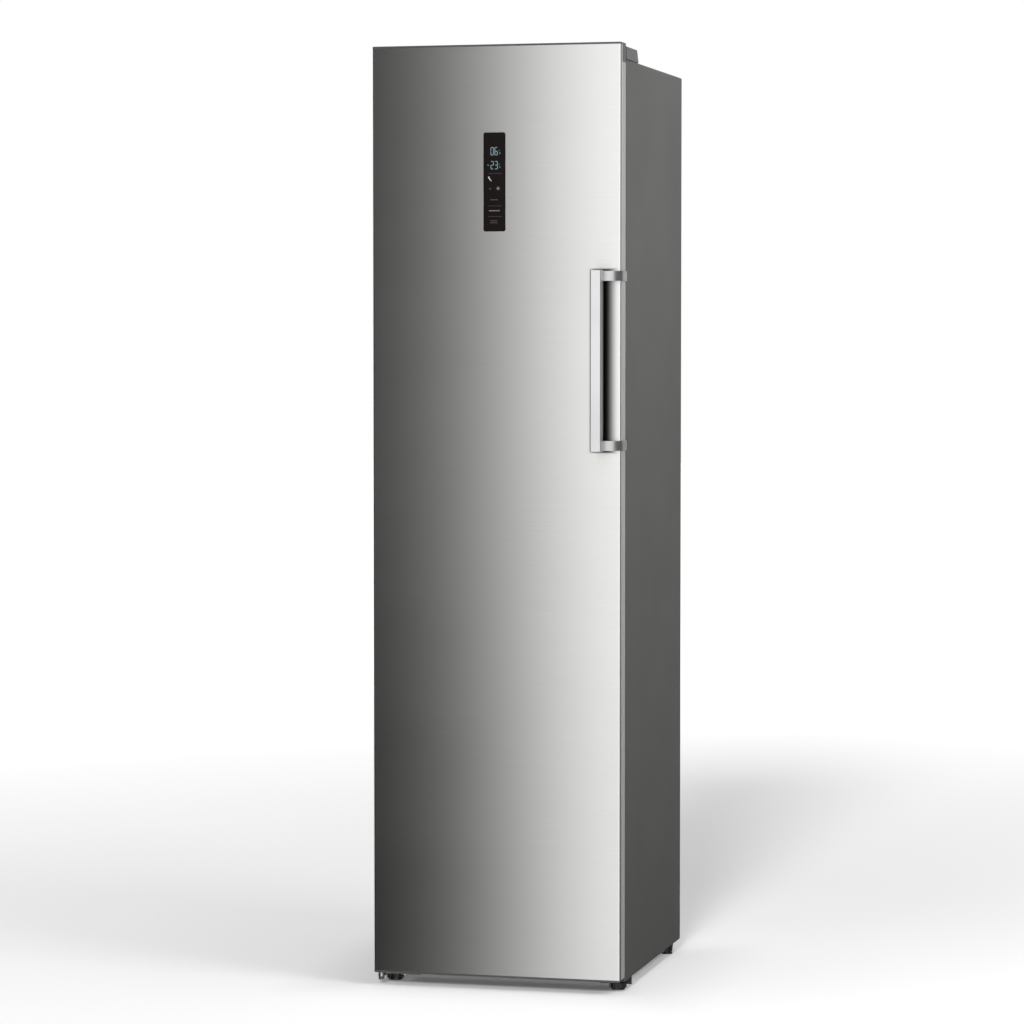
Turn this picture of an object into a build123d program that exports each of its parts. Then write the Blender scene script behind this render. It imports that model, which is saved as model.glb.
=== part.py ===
from build123d import *
import os
from math import radians, sin, cos

os.makedirs("parts", exist_ok=True)

# An upright freezer. X is to the right seen from the front, Y to the back and Z up.
# The origin is on the floor, in the middle of the plan. All sizes are in millimetres.

# ------------------------------------------------------------------ overall sizes
height = 1850.0              # floor to the top of the door
width = 500.0                # door and cabinet, side to side
cabinet_depth = 528.0
door_rise = 30.0             # top of the cabinet to the top of the door
cabinet_lift = 22.0          # floor to the underside of the cabinet
door_thickness = 40.0
door_gap = 4.0               # where the gasket sits
door_lift = 25.0             # floor to the underside of the door
handle_projection = 45.0     # door to the front of the handle

cabinet_height = height - door_rise
overall_depth = handle_projection + door_thickness + door_gap + cabinet_depth
handle_front = -overall_depth / 2
door_front = handle_front + handle_projection
door_back = door_front + door_thickness
cabinet_front = door_back + door_gap
cabinet_back = cabinet_front + cabinet_depth
half = width / 2

seat_gap = 0.3               # between pieces that only rest beside each other
running_gap = 0.05           # radial play of a shaft in its bush
slide_gap = 2.0              # each side of a drawer or shelf

# ------------------------------------------------------------------ walls
shell_sheet = 1.0
shell_bend = 4.0
shell_flange = 22.0          # the shell's front edge, folded in
liner_wall = 1.5
side_insulation = 49.5
top_insulation = 57.5
back_insulation = 59.5
floor_insulation = 55.5

inner_half = half - shell_sheet - side_insulation - liner_wall
inner_top = cabinet_height - shell_sheet - top_insulation - liner_wall
inner_back = cabinet_back - shell_sheet - back_insulation - liner_wall
inner_floor = cabinet_lift + shell_sheet + floor_insulation + liner_wall
body_half = half - shell_sheet       # inside the shell's sides

# ------------------------------------------------------------------ machine space
machine_height = 210.0
machine_depth = 190.0
step_insulation = 47.5
machine_top = cabinet_lift + machine_height
machine_front = cabinet_back - machine_depth
step_top = machine_top + shell_sheet + step_insulation + liner_wall
step_front = machine_front - shell_sheet - step_insulation - liner_wall

# ------------------------------------------------------------------ compartments
compartments = 7
pitch = (inner_top - inner_floor) / compartments
glass_thickness = 4.0
ledge_width = 9.0
ledge_height = 8.0
drawer_setback = 22.0        # cabinet front to the drawers' fronts
drawer_wall = 2.5
drawer_headroom = 16.0
drawer_side_gap = 8.0
drawer_front = cabinet_front + drawer_setback

# ------------------------------------------------------------------ cold air circuit
evaporator_runs = 6
evaporator_pitch = 34.0
evaporator_base = step_top + 38.0
fin_tall = evaporator_runs * evaporator_pitch
fan_radius = 52.0
fan_z = evaporator_base + fin_tall + fan_radius + 16.0
duct_low_depth = 70.0        # back of the liner to the cover, around the evaporator
duct_high_depth = 24.0
duct_shoulder = 40.0
cover_wall = 2.0
cover_clearance = 6.5        # cover to the shelves and drawers in front of it
cover_front = inner_back - duct_low_depth
cover_high_front = inner_back - duct_high_depth
shoulder_z = fan_z + fan_radius + 20

# ------------------------------------------------------------------ door hinge
hinge_inset = 10.0           # hinge axis from the door's left side
hinge_setback = 18.0         # hinge axis behind the door's front
hinge_pin_radius = 3.5
bush_wall = 2.0
bush_depth = 16.0
hinge_x = -half + hinge_inset
hinge_y = door_front + hinge_setback
bush_radius = hinge_pin_radius + running_gap + bush_wall

# ------------------------------------------------------------------ fasteners
screw_radius = 2.0
screw_head_radius = 4.5
screw_head_height = 3.0
screw_clearance = 0.3


def front_plane(y):
    """A sketching plane that faces the front: across is +X, up is +Z."""
    return Plane.XZ.offset(-y)


def side_plane(x):
    """A sketching plane that faces the right: across is +Y, up is +Z."""
    return Plane.YZ.offset(x)


def level(z):
    """A sketching plane that lies flat at a height."""
    return Plane.XY.offset(z)


def block(x, y, z, mode=Mode.ADD):
    """A block between a low and a high limit on each axis."""
    middle = ((x[0] + x[1]) / 2, (y[0] + y[1]) / 2, (z[0] + z[1]) / 2)
    with Locations(middle):
        return Box(x[1] - x[0], y[1] - y[0], z[1] - z[0], mode=mode)


def rod(x, y, z, radius, mode=Mode.ADD):
    """An upright round bar, or a round hole, between two heights."""
    with Locations((x, y, (z[0] + z[1]) / 2)):
        return Cylinder(radius, z[1] - z[0], mode=mode)


def cavity(grow, mode):
    """The cold space, larger all round by a wall, stepped over the machine space."""
    reach = inner_half + grow
    block((-reach, reach), (cabinet_front, inner_back + grow),
          (step_top - grow, inner_top + grow), mode)
    block((-reach, reach), (cabinet_front, step_front + grow),
          (inner_floor - grow, step_top), mode)


def shelf_level(number):
    """Height of the top of a glass shelf; shelf 0 is the floor of the cold space."""
    return inner_floor + number * pitch


def shelf_back(number):
    """Back edge of a shelf and its ledges: short of the cover at that height."""
    top = shelf_level(number)
    if number == 0:
        return step_front - cover_clearance
    if top < shoulder_z + duct_shoulder:
        return cover_front - cover_clearance
    return cover_high_front - cover_clearance


# ================================================================== cabinet
# Outer shell: one painted sheet folded over the sides and the top, its front edges turned in
with BuildPart() as outer_shell:
    shell_tall = cabinet_height - cabinet_lift
    with BuildSketch(front_plane(cabinet_front)):
        with Locations((0, cabinet_lift + shell_tall / 2)):
            Rectangle(width, shell_tall)
        fillet(vertices().group_by(Axis.Y)[-1], shell_bend)
    extrude(amount=-cabinet_depth)
    with BuildSketch(front_plane(cabinet_front + shell_sheet)):
        with Locations((0, cabinet_lift + (shell_tall - shell_sheet) / 2)):
            Rectangle(2 * body_half, shell_tall - shell_sheet)
        fillet(vertices().group_by(Axis.Y)[-1], shell_bend - shell_sheet)
    extrude(amount=-(cabinet_depth - shell_sheet), mode=Mode.SUBTRACT)
    block((-half + shell_flange, half - shell_flange),
          (cabinet_front, cabinet_front + shell_sheet),
          (cabinet_lift, cabinet_height - shell_flange), Mode.SUBTRACT)

# Back panel: a pressed sheet with two stiffening ribs
rib_width = 26.0
rib_depth = 4.0
rib_spacing = 240.0
with BuildPart() as back_panel:
    panel_base = machine_top + shell_sheet
    panel_tall = cabinet_height - shell_sheet - seat_gap - panel_base
    panel_middle = panel_base + panel_tall / 2
    block((-body_half + seat_gap, body_half - seat_gap),
          (cabinet_back - shell_sheet, cabinet_back),
          (panel_base, panel_base + panel_tall))
    fillet(edges().filter_by(Axis.Y).group_by(Axis.Z)[-1], shell_bend)
    with BuildSketch(front_plane(cabinet_back - shell_sheet)):
        with Locations((-rib_spacing / 2, panel_middle), (rib_spacing / 2, panel_middle)):
            SlotOverall(panel_tall - 2 * rib_width, rib_width, rotation=90)
    extrude(amount=rib_depth)
    with BuildSketch(front_plane(cabinet_back)):
        with Locations((-rib_spacing / 2, panel_middle), (rib_spacing / 2, panel_middle)):
            SlotOverall(panel_tall - 2 * rib_width - 2 * shell_sheet,
                        rib_width - 2 * shell_sheet, rotation=90)
    extrude(amount=rib_depth, mode=Mode.SUBTRACT)

# Machine space panel: the folded sheet under the insulation and over the compressor
with BuildPart() as machine_panel:
    block((-body_half, body_half), (cabinet_front + liner_wall, machine_front),
          (cabinet_lift, cabinet_lift + shell_sheet))
    block((-body_half, body_half), (machine_front - shell_sheet, machine_front),
          (cabinet_lift, machine_top + shell_sheet))
    block((-body_half, body_half), (machine_front - shell_sheet, cabinet_back - shell_sheet),
          (machine_top, machine_top + shell_sheet))

# Condenser coils: a serpentine tube against the inside of each side of the shell
coil_radius = 2.4
coil_bend = 22.0
coil_runs = 8
coil_sides = 6
coil_pocket = 2 * coil_radius + 2 * seat_gap
coil_low = step_top + 60.0
coil_high = inner_top - 40.0
coil_start = -(coil_runs - 1) * coil_bend
with BuildPart() as condenser_coils:
    for side in (-1, 1):
        coil_x = side * (body_half - seat_gap - coil_radius)
        with BuildLine(side_plane(coil_x)) as coil_line:
            for run in range(coil_runs):
                run_y = coil_start + run * 2 * coil_bend
                low, high = coil_low + coil_bend, coil_high - coil_bend
                start, end = (low, high) if run % 2 == 0 else (high, low)
                Line((run_y, start), (run_y, end))
                if run < coil_runs - 1:
                    turn = 180 if run % 2 == 0 else -180
                    CenterArc((run_y + coil_bend, end), coil_bend, 180, -turn)
        with BuildSketch(Plane(coil_line.line @ 0, z_dir=coil_line.line % 0)):
            RegularPolygon(coil_radius, coil_sides)
        sweep(path=coil_line.line)

# Insulation: foam between the shell and the liner, with a shallow pocket for each coil
with BuildPart() as cabinet_insulation:
    block((-body_half, body_half),
          (cabinet_front + liner_wall, cabinet_back - shell_sheet),
          (cabinet_lift + shell_sheet, cabinet_height - shell_sheet))
    fillet(edges().filter_by(Axis.Y).group_by(Axis.Z)[-1], shell_bend - shell_sheet)
    with BuildSketch(front_plane(cabinet_back - shell_sheet)):
        with Locations((-rib_spacing / 2, panel_middle), (rib_spacing / 2, panel_middle)):
            SlotOverall(panel_tall - 2 * rib_width, rib_width, rotation=90)
    extrude(amount=rib_depth, mode=Mode.SUBTRACT)
    block((-half, half), (machine_front - shell_sheet, cabinet_back),
          (0, machine_top + shell_sheet), Mode.SUBTRACT)
    cavity(liner_wall, Mode.SUBTRACT)
    pocket_reach = coil_radius + seat_gap
    for side in (-1, 1):
        inner, outer = body_half - coil_pocket, body_half
        block((min(side * inner, side * outer), max(side * inner, side * outer)),
              (coil_start - pocket_reach, -coil_start + pocket_reach),
              (coil_low - pocket_reach, coil_high + pocket_reach), Mode.SUBTRACT)

# Inner liner: a moulded white tub with a ledge each side for every shelf
with BuildPart() as inner_liner:
    cavity(liner_wall, Mode.ADD)
    block((-half + shell_flange + seat_gap, half - shell_flange - seat_gap),
          (cabinet_front, cabinet_front + liner_wall),
          (inner_floor - liner_wall - seat_gap, cabinet_height - shell_flange - seat_gap))
    cavity(0, Mode.SUBTRACT)
    for number in range(1, compartments):
        ledge_top = shelf_level(number) - glass_thickness
        for side in (-1, 1):
            edge, wall = side * (inner_half - ledge_width), side * (inner_half + liner_wall)
            block((min(edge, wall), max(edge, wall)),
                  (drawer_front, shelf_back(number)), (ledge_top - ledge_height, ledge_top))

# Shelves: a sheet of glass under each drawer but the lowest, resting on the ledges
with BuildPart() as glass_shelves:
    for number in range(1, compartments):
        top = shelf_level(number)
        block((-inner_half + slide_gap, inner_half - slide_gap),
              (drawer_front + drawer_wall, shelf_back(number)), (top - glass_thickness, top))
    fillet(edges().filter_by(Axis.Z), slide_gap)

# ================================================================== cold air circuit
# Evaporator: plate fins on a serpentine tube, behind the cover in the lower part of the back
coil_tube_radius = 4.0
coil_tube_sides = 8
fin_sheet = 1.0
fin_count = 13
fin_margin = 33.0            # outermost fins to the liner's sides
fin_reach = inner_half - fin_margin
fin_front = cover_front + cover_wall + 8.0
fin_back = inner_back - seat_gap
coil_y = (fin_front + fin_back) / 2
bend_radius = evaporator_pitch / 2
with BuildPart() as evaporator:
    for number in range(fin_count):
        fin_x = -fin_reach + number * 2 * fin_reach / (fin_count - 1)
        block((fin_x - fin_sheet / 2, fin_x + fin_sheet / 2), (fin_front, fin_back),
              (evaporator_base, evaporator_base + fin_tall))
    with BuildLine(front_plane(coil_y)) as coil_line:
        for run in range(evaporator_runs):
            run_z = evaporator_base + (run + 0.5) * evaporator_pitch
            start, end = (-fin_reach, fin_reach) if run % 2 == 0 else (fin_reach, -fin_reach)
            Line((start, run_z), (end, run_z))
            if run < evaporator_runs - 1:
                turn = 180 if run % 2 == 0 else -180
                CenterArc((end, run_z + bend_radius), bend_radius, -90, turn)
    with BuildSketch(Plane(coil_line.line @ 0, z_dir=coil_line.line % 0)):
        RegularPolygon(coil_tube_radius, coil_tube_sides)
    sweep(path=coil_line.line)

# Defrost heater: a hairpin of tube under the fins
heater_radius = 4.0
heater_span = 36.0           # between the two legs
with BuildPart() as defrost_heater:
    heater_z = evaporator_base - seat_gap - heater_radius
    heater_end = fin_reach - heater_span / 2
    with BuildLine(level(heater_z)) as heater_line:
        Line((-fin_reach, coil_y - heater_span / 2), (heater_end, coil_y - heater_span / 2))
        CenterArc((heater_end, coil_y), heater_span / 2, -90, 180)
        Line((heater_end, coil_y + heater_span / 2), (-fin_reach, coil_y + heater_span / 2))
    with BuildSketch(Plane(heater_line.line @ 0, z_dir=heater_line.line % 0)):
        Circle(heater_radius)
    sweep(path=heater_line.line)

# Fan: a motor on a bracket against the liner's back, and a blade wheel on its shaft
motor_radius = 26.0
motor_length = 24.0
shaft_radius = 2.5
hub_radius = 17.0
hub_length = 18.0
hub_wall = 2.0
blade_count = 5
blade_thickness = 2.0
blade_pitch = 32.0           # degrees, at the tip
blade_twist = 12.0           # degrees more at the root
blade_root = 4.0             # how far the blades start inside the hub
blade_tip_gap = 2.0
tip_thickness = blade_thickness / 1.5
spoke_width = 18.0           # the bracket's arms
spoke_corner = 8.0
motor_round = 4.0
hub_round = 3.0
fan_gap = 6.0
motor_front = inner_back - seat_gap - motor_length
hub_back = motor_front - fan_gap
hub_front = hub_back - hub_length
with BuildPart() as fan_motor:
    with BuildSketch(front_plane(inner_back - seat_gap)):
        with Locations((0, fan_z)):
            RectangleRounded(2 * fan_radius, spoke_width, spoke_corner)
            RectangleRounded(spoke_width, 2 * fan_radius, spoke_corner)
    extrude(amount=cover_wall)
    with BuildSketch(front_plane(inner_back - seat_gap)):
        with Locations((0, fan_z)):
            Circle(motor_radius)
    extrude(amount=motor_length)
    fillet(edges().filter_by(GeomType.CIRCLE).group_by(Axis.Y)[0], motor_round)
    with BuildSketch(front_plane(motor_front)):
        with Locations((0, fan_z)):
            Circle(shaft_radius)
    extrude(amount=fan_gap + hub_length - 2 * hub_wall)

with BuildPart() as fan_wheel:
    with BuildSketch(front_plane(hub_back)):
        with Locations((0, fan_z)):
            Circle(hub_radius)
    extrude(amount=hub_length)
    fillet(edges().filter_by(GeomType.CIRCLE).group_by(Axis.Y)[0], hub_round)
    blade_middle = (hub_back + hub_front) / 2
    for number in range(blade_count):
        angle = number * 360 / blade_count
        root = Plane((0, blade_middle, fan_z), x_dir=(0, 1, 0),
                     z_dir=(cos(radians(angle)), 0, sin(radians(angle))))
        with BuildSketch(root.offset(hub_radius - blade_root)):
            Rectangle(hub_length + blade_root, blade_thickness, rotation=blade_pitch + blade_twist)
        with BuildSketch(root.offset(fan_radius - blade_tip_gap)):
            Rectangle(2 * hub_length, tip_thickness, rotation=blade_pitch)
        loft()
    with BuildSketch(front_plane(hub_back)):
        with Locations((0, fan_z)):
            Circle(shaft_radius + running_gap)
    extrude(amount=hub_length - hub_wall, mode=Mode.SUBTRACT)

# Evaporator cover: a white panel up the whole back, deep below and shallow above
outlet_middle = 18.0         # the pair of outlets from the middle
outlet_edge = 30.0           # and from the liner's sides
outlet_width = inner_half - outlet_middle - outlet_edge
outlet_height = 9.0
outlet_drop = 14.0           # outlets below the drawers' headroom
return_count = 6
return_pitch = 50.0
return_width = 36.0
return_height = 14.0
return_rise = 22.0
grille_rings = 3
grille_bar = 4.0
grille_ring = 3.0
fan_clearance = 2.0
with BuildPart() as evaporator_cover:
    cover_base = step_top + seat_gap
    cover_top = inner_top - seat_gap
    with BuildSketch(side_plane(-inner_half + seat_gap)):
        with BuildLine():
            Polyline((inner_back - seat_gap, cover_base), (cover_front, cover_base),
                     (cover_front, shoulder_z), (cover_high_front, shoulder_z + duct_shoulder),
                     (cover_high_front, cover_top), (inner_back - seat_gap, cover_top),
                     (inner_back - seat_gap, cover_base))
        make_face()
    extrude(amount=2 * (inner_half - seat_gap))
    with BuildSketch(side_plane(-inner_half + seat_gap + cover_wall)):
        with BuildLine():
            Polyline((inner_back, cover_base - 1), (cover_front + cover_wall, cover_base - 1),
                     (cover_front + cover_wall, shoulder_z + 1),
                     (cover_high_front + cover_wall, shoulder_z + duct_shoulder + 1),
                     (cover_high_front + cover_wall, cover_top - cover_wall),
                     (inner_back, cover_top - cover_wall), (inner_back, cover_base - 1))
        make_face()
    extrude(amount=2 * (inner_half - seat_gap - cover_wall), mode=Mode.SUBTRACT)
    # air outlets, a pair over each upper drawer
    for number in range(3, compartments + 1):
        outlet_z = shelf_level(number) - drawer_headroom - outlet_drop
        for side in (-1, 1):
            outlet_x = side * (outlet_middle + outlet_width / 2)
            with Locations((outlet_x, cover_high_front, outlet_z)):
                Box(outlet_width, 4 * cover_wall, outlet_height, mode=Mode.SUBTRACT)
    # return slots under the coil
    for number in range(return_count):
        slot_x = (number - (return_count - 1) / 2) * return_pitch
        with Locations((slot_x, cover_front, cover_base + return_rise)):
            Box(return_width, 4 * cover_wall, return_height, mode=Mode.SUBTRACT)
    # ring grille in front of the fan
    with BuildSketch(front_plane(cover_front)):
        with Locations((0, fan_z)):
            Circle(fan_radius + fan_clearance)
    extrude(amount=-cover_wall, mode=Mode.SUBTRACT)
    with BuildSketch(front_plane(cover_front)):
        for ring in range(1, grille_rings + 1):
            ring_radius = ring * (fan_radius + fan_clearance) / (grille_rings + 0.5)
            with Locations((0, fan_z)):
                Circle(ring_radius)
                Circle(ring_radius - grille_ring, mode=Mode.SUBTRACT)
        with Locations((0, fan_z)):
            Rectangle(2 * (fan_radius + grille_bar), grille_bar)
            Rectangle(grille_bar, 2 * (fan_radius + grille_bar))
    extrude(amount=-cover_wall)

# Drain tube: from under the coil, through the insulation, to the tray on the compressor
drain_radius = 8.0
drain_wall = 1.5
compressor_inset = 155.0
compressor_x = half - compressor_inset
drain_x = compressor_x
tray_floor = machine_top - 34.0
drain_low = tray_floor + 14.0
with BuildPart() as drain_tube:
    rod(drain_x, coil_y, (drain_low, step_top), drain_radius)
    rod(drain_x, coil_y, (drain_low, step_top), drain_radius - drain_wall, Mode.SUBTRACT)

for carrier in (cabinet_insulation, machine_panel, inner_liner):
    with carrier:
        rod(drain_x, coil_y, (machine_top - 1, step_top + 1), drain_radius + seat_gap,
            Mode.SUBTRACT)

# ================================================================== machine space
base_sheet = 2.0
base_flange = 14.0
foot_stem_radius = 4.0
rear_foot_inset = 15.0
rear_foot_x = half - rear_foot_inset
rear_foot_y = cabinet_back - 62.0
front_foot_inset = 22.0
front_foot_x = half - front_foot_inset
front_foot_y = cabinet_front + 32.5
compressor_setback = 96.0    # the can's axis from the cabinet's back
compressor_y = cabinet_back - compressor_setback
grommet_radius = 11.0
grommet_lip = 5.0
grommet_bulge = 2.0
grommet_height = 14.0
grommet_spacing_x = 140.0
grommet_spacing_y = 96.0
bolt_radius = 3.0
bolt_head_radius = 6.0
bolt_head = 5.0              # below the base plate
bolt_nut = 4.0               # on the compressor's legs
bolt_end = 3.0
base_top = cabinet_lift + base_sheet
leg_sheet = 3.0
leg_border = (30.0, 22.0)    # the legs' plate past the bolts, both sides together
leg_corner = 12.0
leg_scallop = 26.0
scallop_y = grommet_spacing_y / 2 + leg_border[1]
can_base = base_top + grommet_height + leg_sheet
can_radius = 58.0
can_height = 138.0
can_seam = 76.0
can_step = 3.0               # the lower shell inside the seam
seam_width = 5.0
dome = 26.0
stub_radius = 5.0
stub_length = 24.0
stub_spacing = 18.0
suction_rise = 34.0
charge_rise = 60.0
discharge_rise = 96.0
grommets = [(compressor_x + side * grommet_spacing_x / 2, compressor_y + end * grommet_spacing_y / 2)
            for side in (-1, 1) for end in (-1, 1)]

# Base plate: a steel tray between the shell's sides that carries the compressor and rear feet
with BuildPart() as base_plate:
    block((-body_half, body_half), (machine_front, cabinet_back - shell_sheet),
          (cabinet_lift, base_top))
    block((-body_half, body_half), (machine_front, machine_front + base_sheet),
          (cabinet_lift, cabinet_lift + base_flange))
    block((-body_half, -body_half + base_sheet), (machine_front, cabinet_back - shell_sheet),
          (cabinet_lift, cabinet_lift + base_flange))
    block((body_half - base_sheet, body_half), (machine_front, cabinet_back - shell_sheet),
          (cabinet_lift, cabinet_lift + base_flange))
    for x, y in grommets:
        rod(x, y, (cabinet_lift - 1, base_top + 1), bolt_radius + screw_clearance, Mode.SUBTRACT)
    for side in (-1, 1):
        rod(side * rear_foot_x, rear_foot_y, (cabinet_lift - 1, base_top + 1),
            foot_stem_radius + screw_clearance, Mode.SUBTRACT)

# Compressor grommets and the bolts through them
with BuildPart() as compressor_grommets:
    for x, y in grommets:
        rod(x, y, (base_top, base_top + grommet_height), grommet_radius)
        rod(x, y, (base_top + grommet_lip, base_top + grommet_height - grommet_lip),
            grommet_radius + grommet_bulge)
        rod(x, y, (base_top - 1, base_top + grommet_height + 1), bolt_radius + screw_clearance,
            Mode.SUBTRACT)

with BuildPart() as compressor_bolts:
    for x, y in grommets:
        rod(x, y, (cabinet_lift - bolt_head, can_base + bolt_end), bolt_radius)
        rod(x, y, (can_base, can_base + bolt_nut), bolt_head_radius)
        with BuildSketch(level(cabinet_lift - bolt_head)):
            with Locations((x, y)):
                RegularPolygon(bolt_head_radius, 6)
        extrude(amount=bolt_head)

# Compressor: a domed steel can with a welded seam, on a four-legged plate
with BuildPart() as compressor:
    with BuildSketch(Plane.XZ.offset(-compressor_y)):
        with BuildLine():
            can_top = can_base + can_height
            seam_z = can_base + can_seam
            can_lower = compressor_x + can_radius - can_step
            can_upper = compressor_x + can_radius - seam_width
            Line((compressor_x, can_base), (can_lower - dome, can_base))
            RadiusArc((can_lower - dome, can_base), (can_lower, can_base + dome), -dome)
            Line((can_lower, can_base + dome),
                 (can_lower, seam_z))
            Polyline((can_lower, seam_z), (compressor_x + can_radius, seam_z),
                     (compressor_x + can_radius, seam_z + seam_width),
                     (can_upper, seam_z + seam_width))
            Line((can_upper, seam_z + seam_width),
                 (can_upper, can_top - dome))
            RadiusArc((can_upper, can_top - dome),
                      (can_upper - dome, can_top), -dome)
            Polyline((can_upper - dome, can_top), (compressor_x, can_top),
                     (compressor_x, can_base))
        make_face()
    revolve(axis=Axis((compressor_x, compressor_y, 0), (0, 0, 1)))
    with BuildSketch(level(can_base - leg_sheet)):
        with Locations((compressor_x, compressor_y)):
            RectangleRounded(grommet_spacing_x + leg_border[0], grommet_spacing_y + leg_border[1],
                             leg_corner)
            with Locations((0, scallop_y), (0, -scallop_y)):
                Circle(leg_scallop, mode=Mode.SUBTRACT)
    extrude(amount=leg_sheet)
    for x, y in grommets:
        rod(x, y, (can_base - leg_sheet - 1, can_base + 1), bolt_radius + screw_clearance,
            Mode.SUBTRACT)
    # stubs for the pipes, out of the left side of the can
    for stub_y, stub_z in ((-stub_spacing, suction_rise), (0, charge_rise),
                           (stub_spacing, discharge_rise)):
        with Locations(Location((compressor_x - can_radius, compressor_y + stub_y,
                                 can_base + stub_z), (0, 90, 0))):
            Cylinder(stub_radius, stub_length)

# Terminal cover: the relay box on the right side of the can
terminal_rise = 52.0         # the can's base to the box's middle
terminal_size = (62.0, 58.0)
terminal_corner = 8.0
terminal_depth = 26.0
terminal_round = 4.0
with BuildPart() as terminal_cover:
    with BuildSketch(side_plane(compressor_x + can_radius + seat_gap)):
        with Locations((compressor_y, can_base + terminal_rise)):
            RectangleRounded(*terminal_size, terminal_corner)
    extrude(amount=terminal_depth)
    fillet(faces().sort_by(Axis.X)[-1].edges(), terminal_round)

# Refrigerant pipes: suction up into the insulation, discharge to the dryer
pipe_radius = 3.2
dryer_radius = 9.0
dryer_spacing = 165.0        # compressor to filter dryer
dryer_x = compressor_x - dryer_spacing
dryer_low = base_top + 26.0
dryer_length = 50.0
dryer_high = dryer_low + dryer_length
dryer_neck = 5.0
dryer_cone = 6.0
dryer_tail = 16.0
clip_width = 8.0
clip_sheet = 3.0
capillary_radius = 1.5
capillary_bend = 5.0
pipe_bend = 14.0
stub_end = compressor_x - can_radius - stub_length / 2 - seat_gap
suction_y, suction_z = compressor_y - stub_spacing, can_base + suction_rise
discharge_y, discharge_z = compressor_y + stub_spacing, can_base + discharge_rise
suction_reach = 46.0
suction_x = stub_end - suction_reach
capillary_reach = 22.0
with BuildPart() as refrigerant_pipes:
    suction_points = ((stub_end, suction_y, suction_z), (suction_x, suction_y, suction_z),
                      (suction_x, suction_y, machine_top - seat_gap))
    discharge_points = ((stub_end, discharge_y, discharge_z), (dryer_x, discharge_y, discharge_z),
                        (dryer_x, discharge_y, dryer_high + dryer_tail + seat_gap))
    capillary_low = base_top + 4
    capillary_points = ((dryer_x, discharge_y, dryer_low - dryer_tail - seat_gap),
                        (dryer_x, discharge_y, capillary_low),
                        (dryer_x - capillary_reach, discharge_y, capillary_low),
                        (dryer_x - capillary_reach, discharge_y, machine_top - seat_gap))
    for points, bend, radius in ((suction_points, pipe_bend, pipe_radius),
                                 (discharge_points, pipe_bend, pipe_radius),
                                 (capillary_points, capillary_bend, capillary_radius)):
        with BuildLine() as route:
            FilletPolyline(*points, radius=bend)
        with BuildSketch(Plane(route.line @ 0, z_dir=route.line % 0)):
            Circle(radius)
        sweep(path=route.line)

# Filter dryer: a copper capsule drawn down at both ends
with BuildPart() as filter_dryer:
    with BuildSketch(Plane.XZ.offset(-discharge_y)):
        with BuildLine():
            neck_x, body_x = dryer_x + dryer_neck, dryer_x + dryer_radius
            Polyline((dryer_x, dryer_low - dryer_tail), (neck_x, dryer_low - dryer_tail),
                     (neck_x, dryer_low - dryer_cone), (body_x, dryer_low + dryer_cone),
                     (body_x, dryer_high - dryer_cone), (neck_x, dryer_high + dryer_cone),
                     (neck_x, dryer_high + dryer_tail), (dryer_x, dryer_high + dryer_tail),
                     (dryer_x, dryer_low - dryer_tail))
        make_face()
    revolve(axis=Axis((dryer_x, discharge_y, 0), (0, 0, 1)))
    # clip down to the base plate
    block((dryer_x + dryer_neck, dryer_x + dryer_neck + clip_width),
          (discharge_y - clip_sheet / 2, discharge_y + clip_sheet / 2),
          (base_top, dryer_low + dryer_cone))

# Drip tray: on top of the compressor, whose heat dries the melt water
tray_wall = 2.0
tray_length = 170.0
tray_depth = 120.0
tray_corner = 12.0
tray_seat = can_base + can_height + seat_gap
tray_rim = tray_floor + 26.0
with BuildPart() as drip_tray:
    with BuildSketch(level(tray_seat)):
        with Locations((compressor_x, compressor_y)):
            RectangleRounded(tray_length, tray_depth, tray_corner)
    extrude(amount=tray_rim - tray_seat)
    with BuildSketch(level(tray_seat + tray_wall)):
        with Locations((compressor_x, compressor_y)):
            RectangleRounded(tray_length - 2 * tray_wall, tray_depth - 2 * tray_wall,
                             tray_corner - tray_wall)
    extrude(amount=tray_rim, mode=Mode.SUBTRACT)

# Machine cover: the slotted grille that closes the machine space at the back
cover_sheet = 2.5
slot_width = 5.0
slot_height = 52.0
slot_pitch = 13.0
slot_bridge = 14.0
slot_columns = 27
cover_rim = 8.0
with BuildPart() as machine_cover:
    grille_low, grille_high = base_top + seat_gap, machine_top - seat_gap
    grille_half = body_half - base_sheet - seat_gap
    grille_y = cabinet_back - cover_sheet
    block((-grille_half, grille_half), (grille_y, cabinet_back), (grille_low, grille_high))
    with BuildSketch(front_plane(cabinet_back)):
        with Locations((0, (grille_low + grille_high) / 2)):
            with GridLocations(slot_pitch, slot_height + slot_bridge, slot_columns, 2):
                Rectangle(slot_width, slot_height)
    extrude(amount=cover_sheet, mode=Mode.SUBTRACT)
    # folded rim that stiffens it
    for side in (-1, 1):
        edge, rim = side * grille_half, side * (grille_half - cover_wall)
        block((min(edge, rim), max(edge, rim)), (grille_y - cover_rim, grille_y),
              (grille_low, grille_high))

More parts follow.
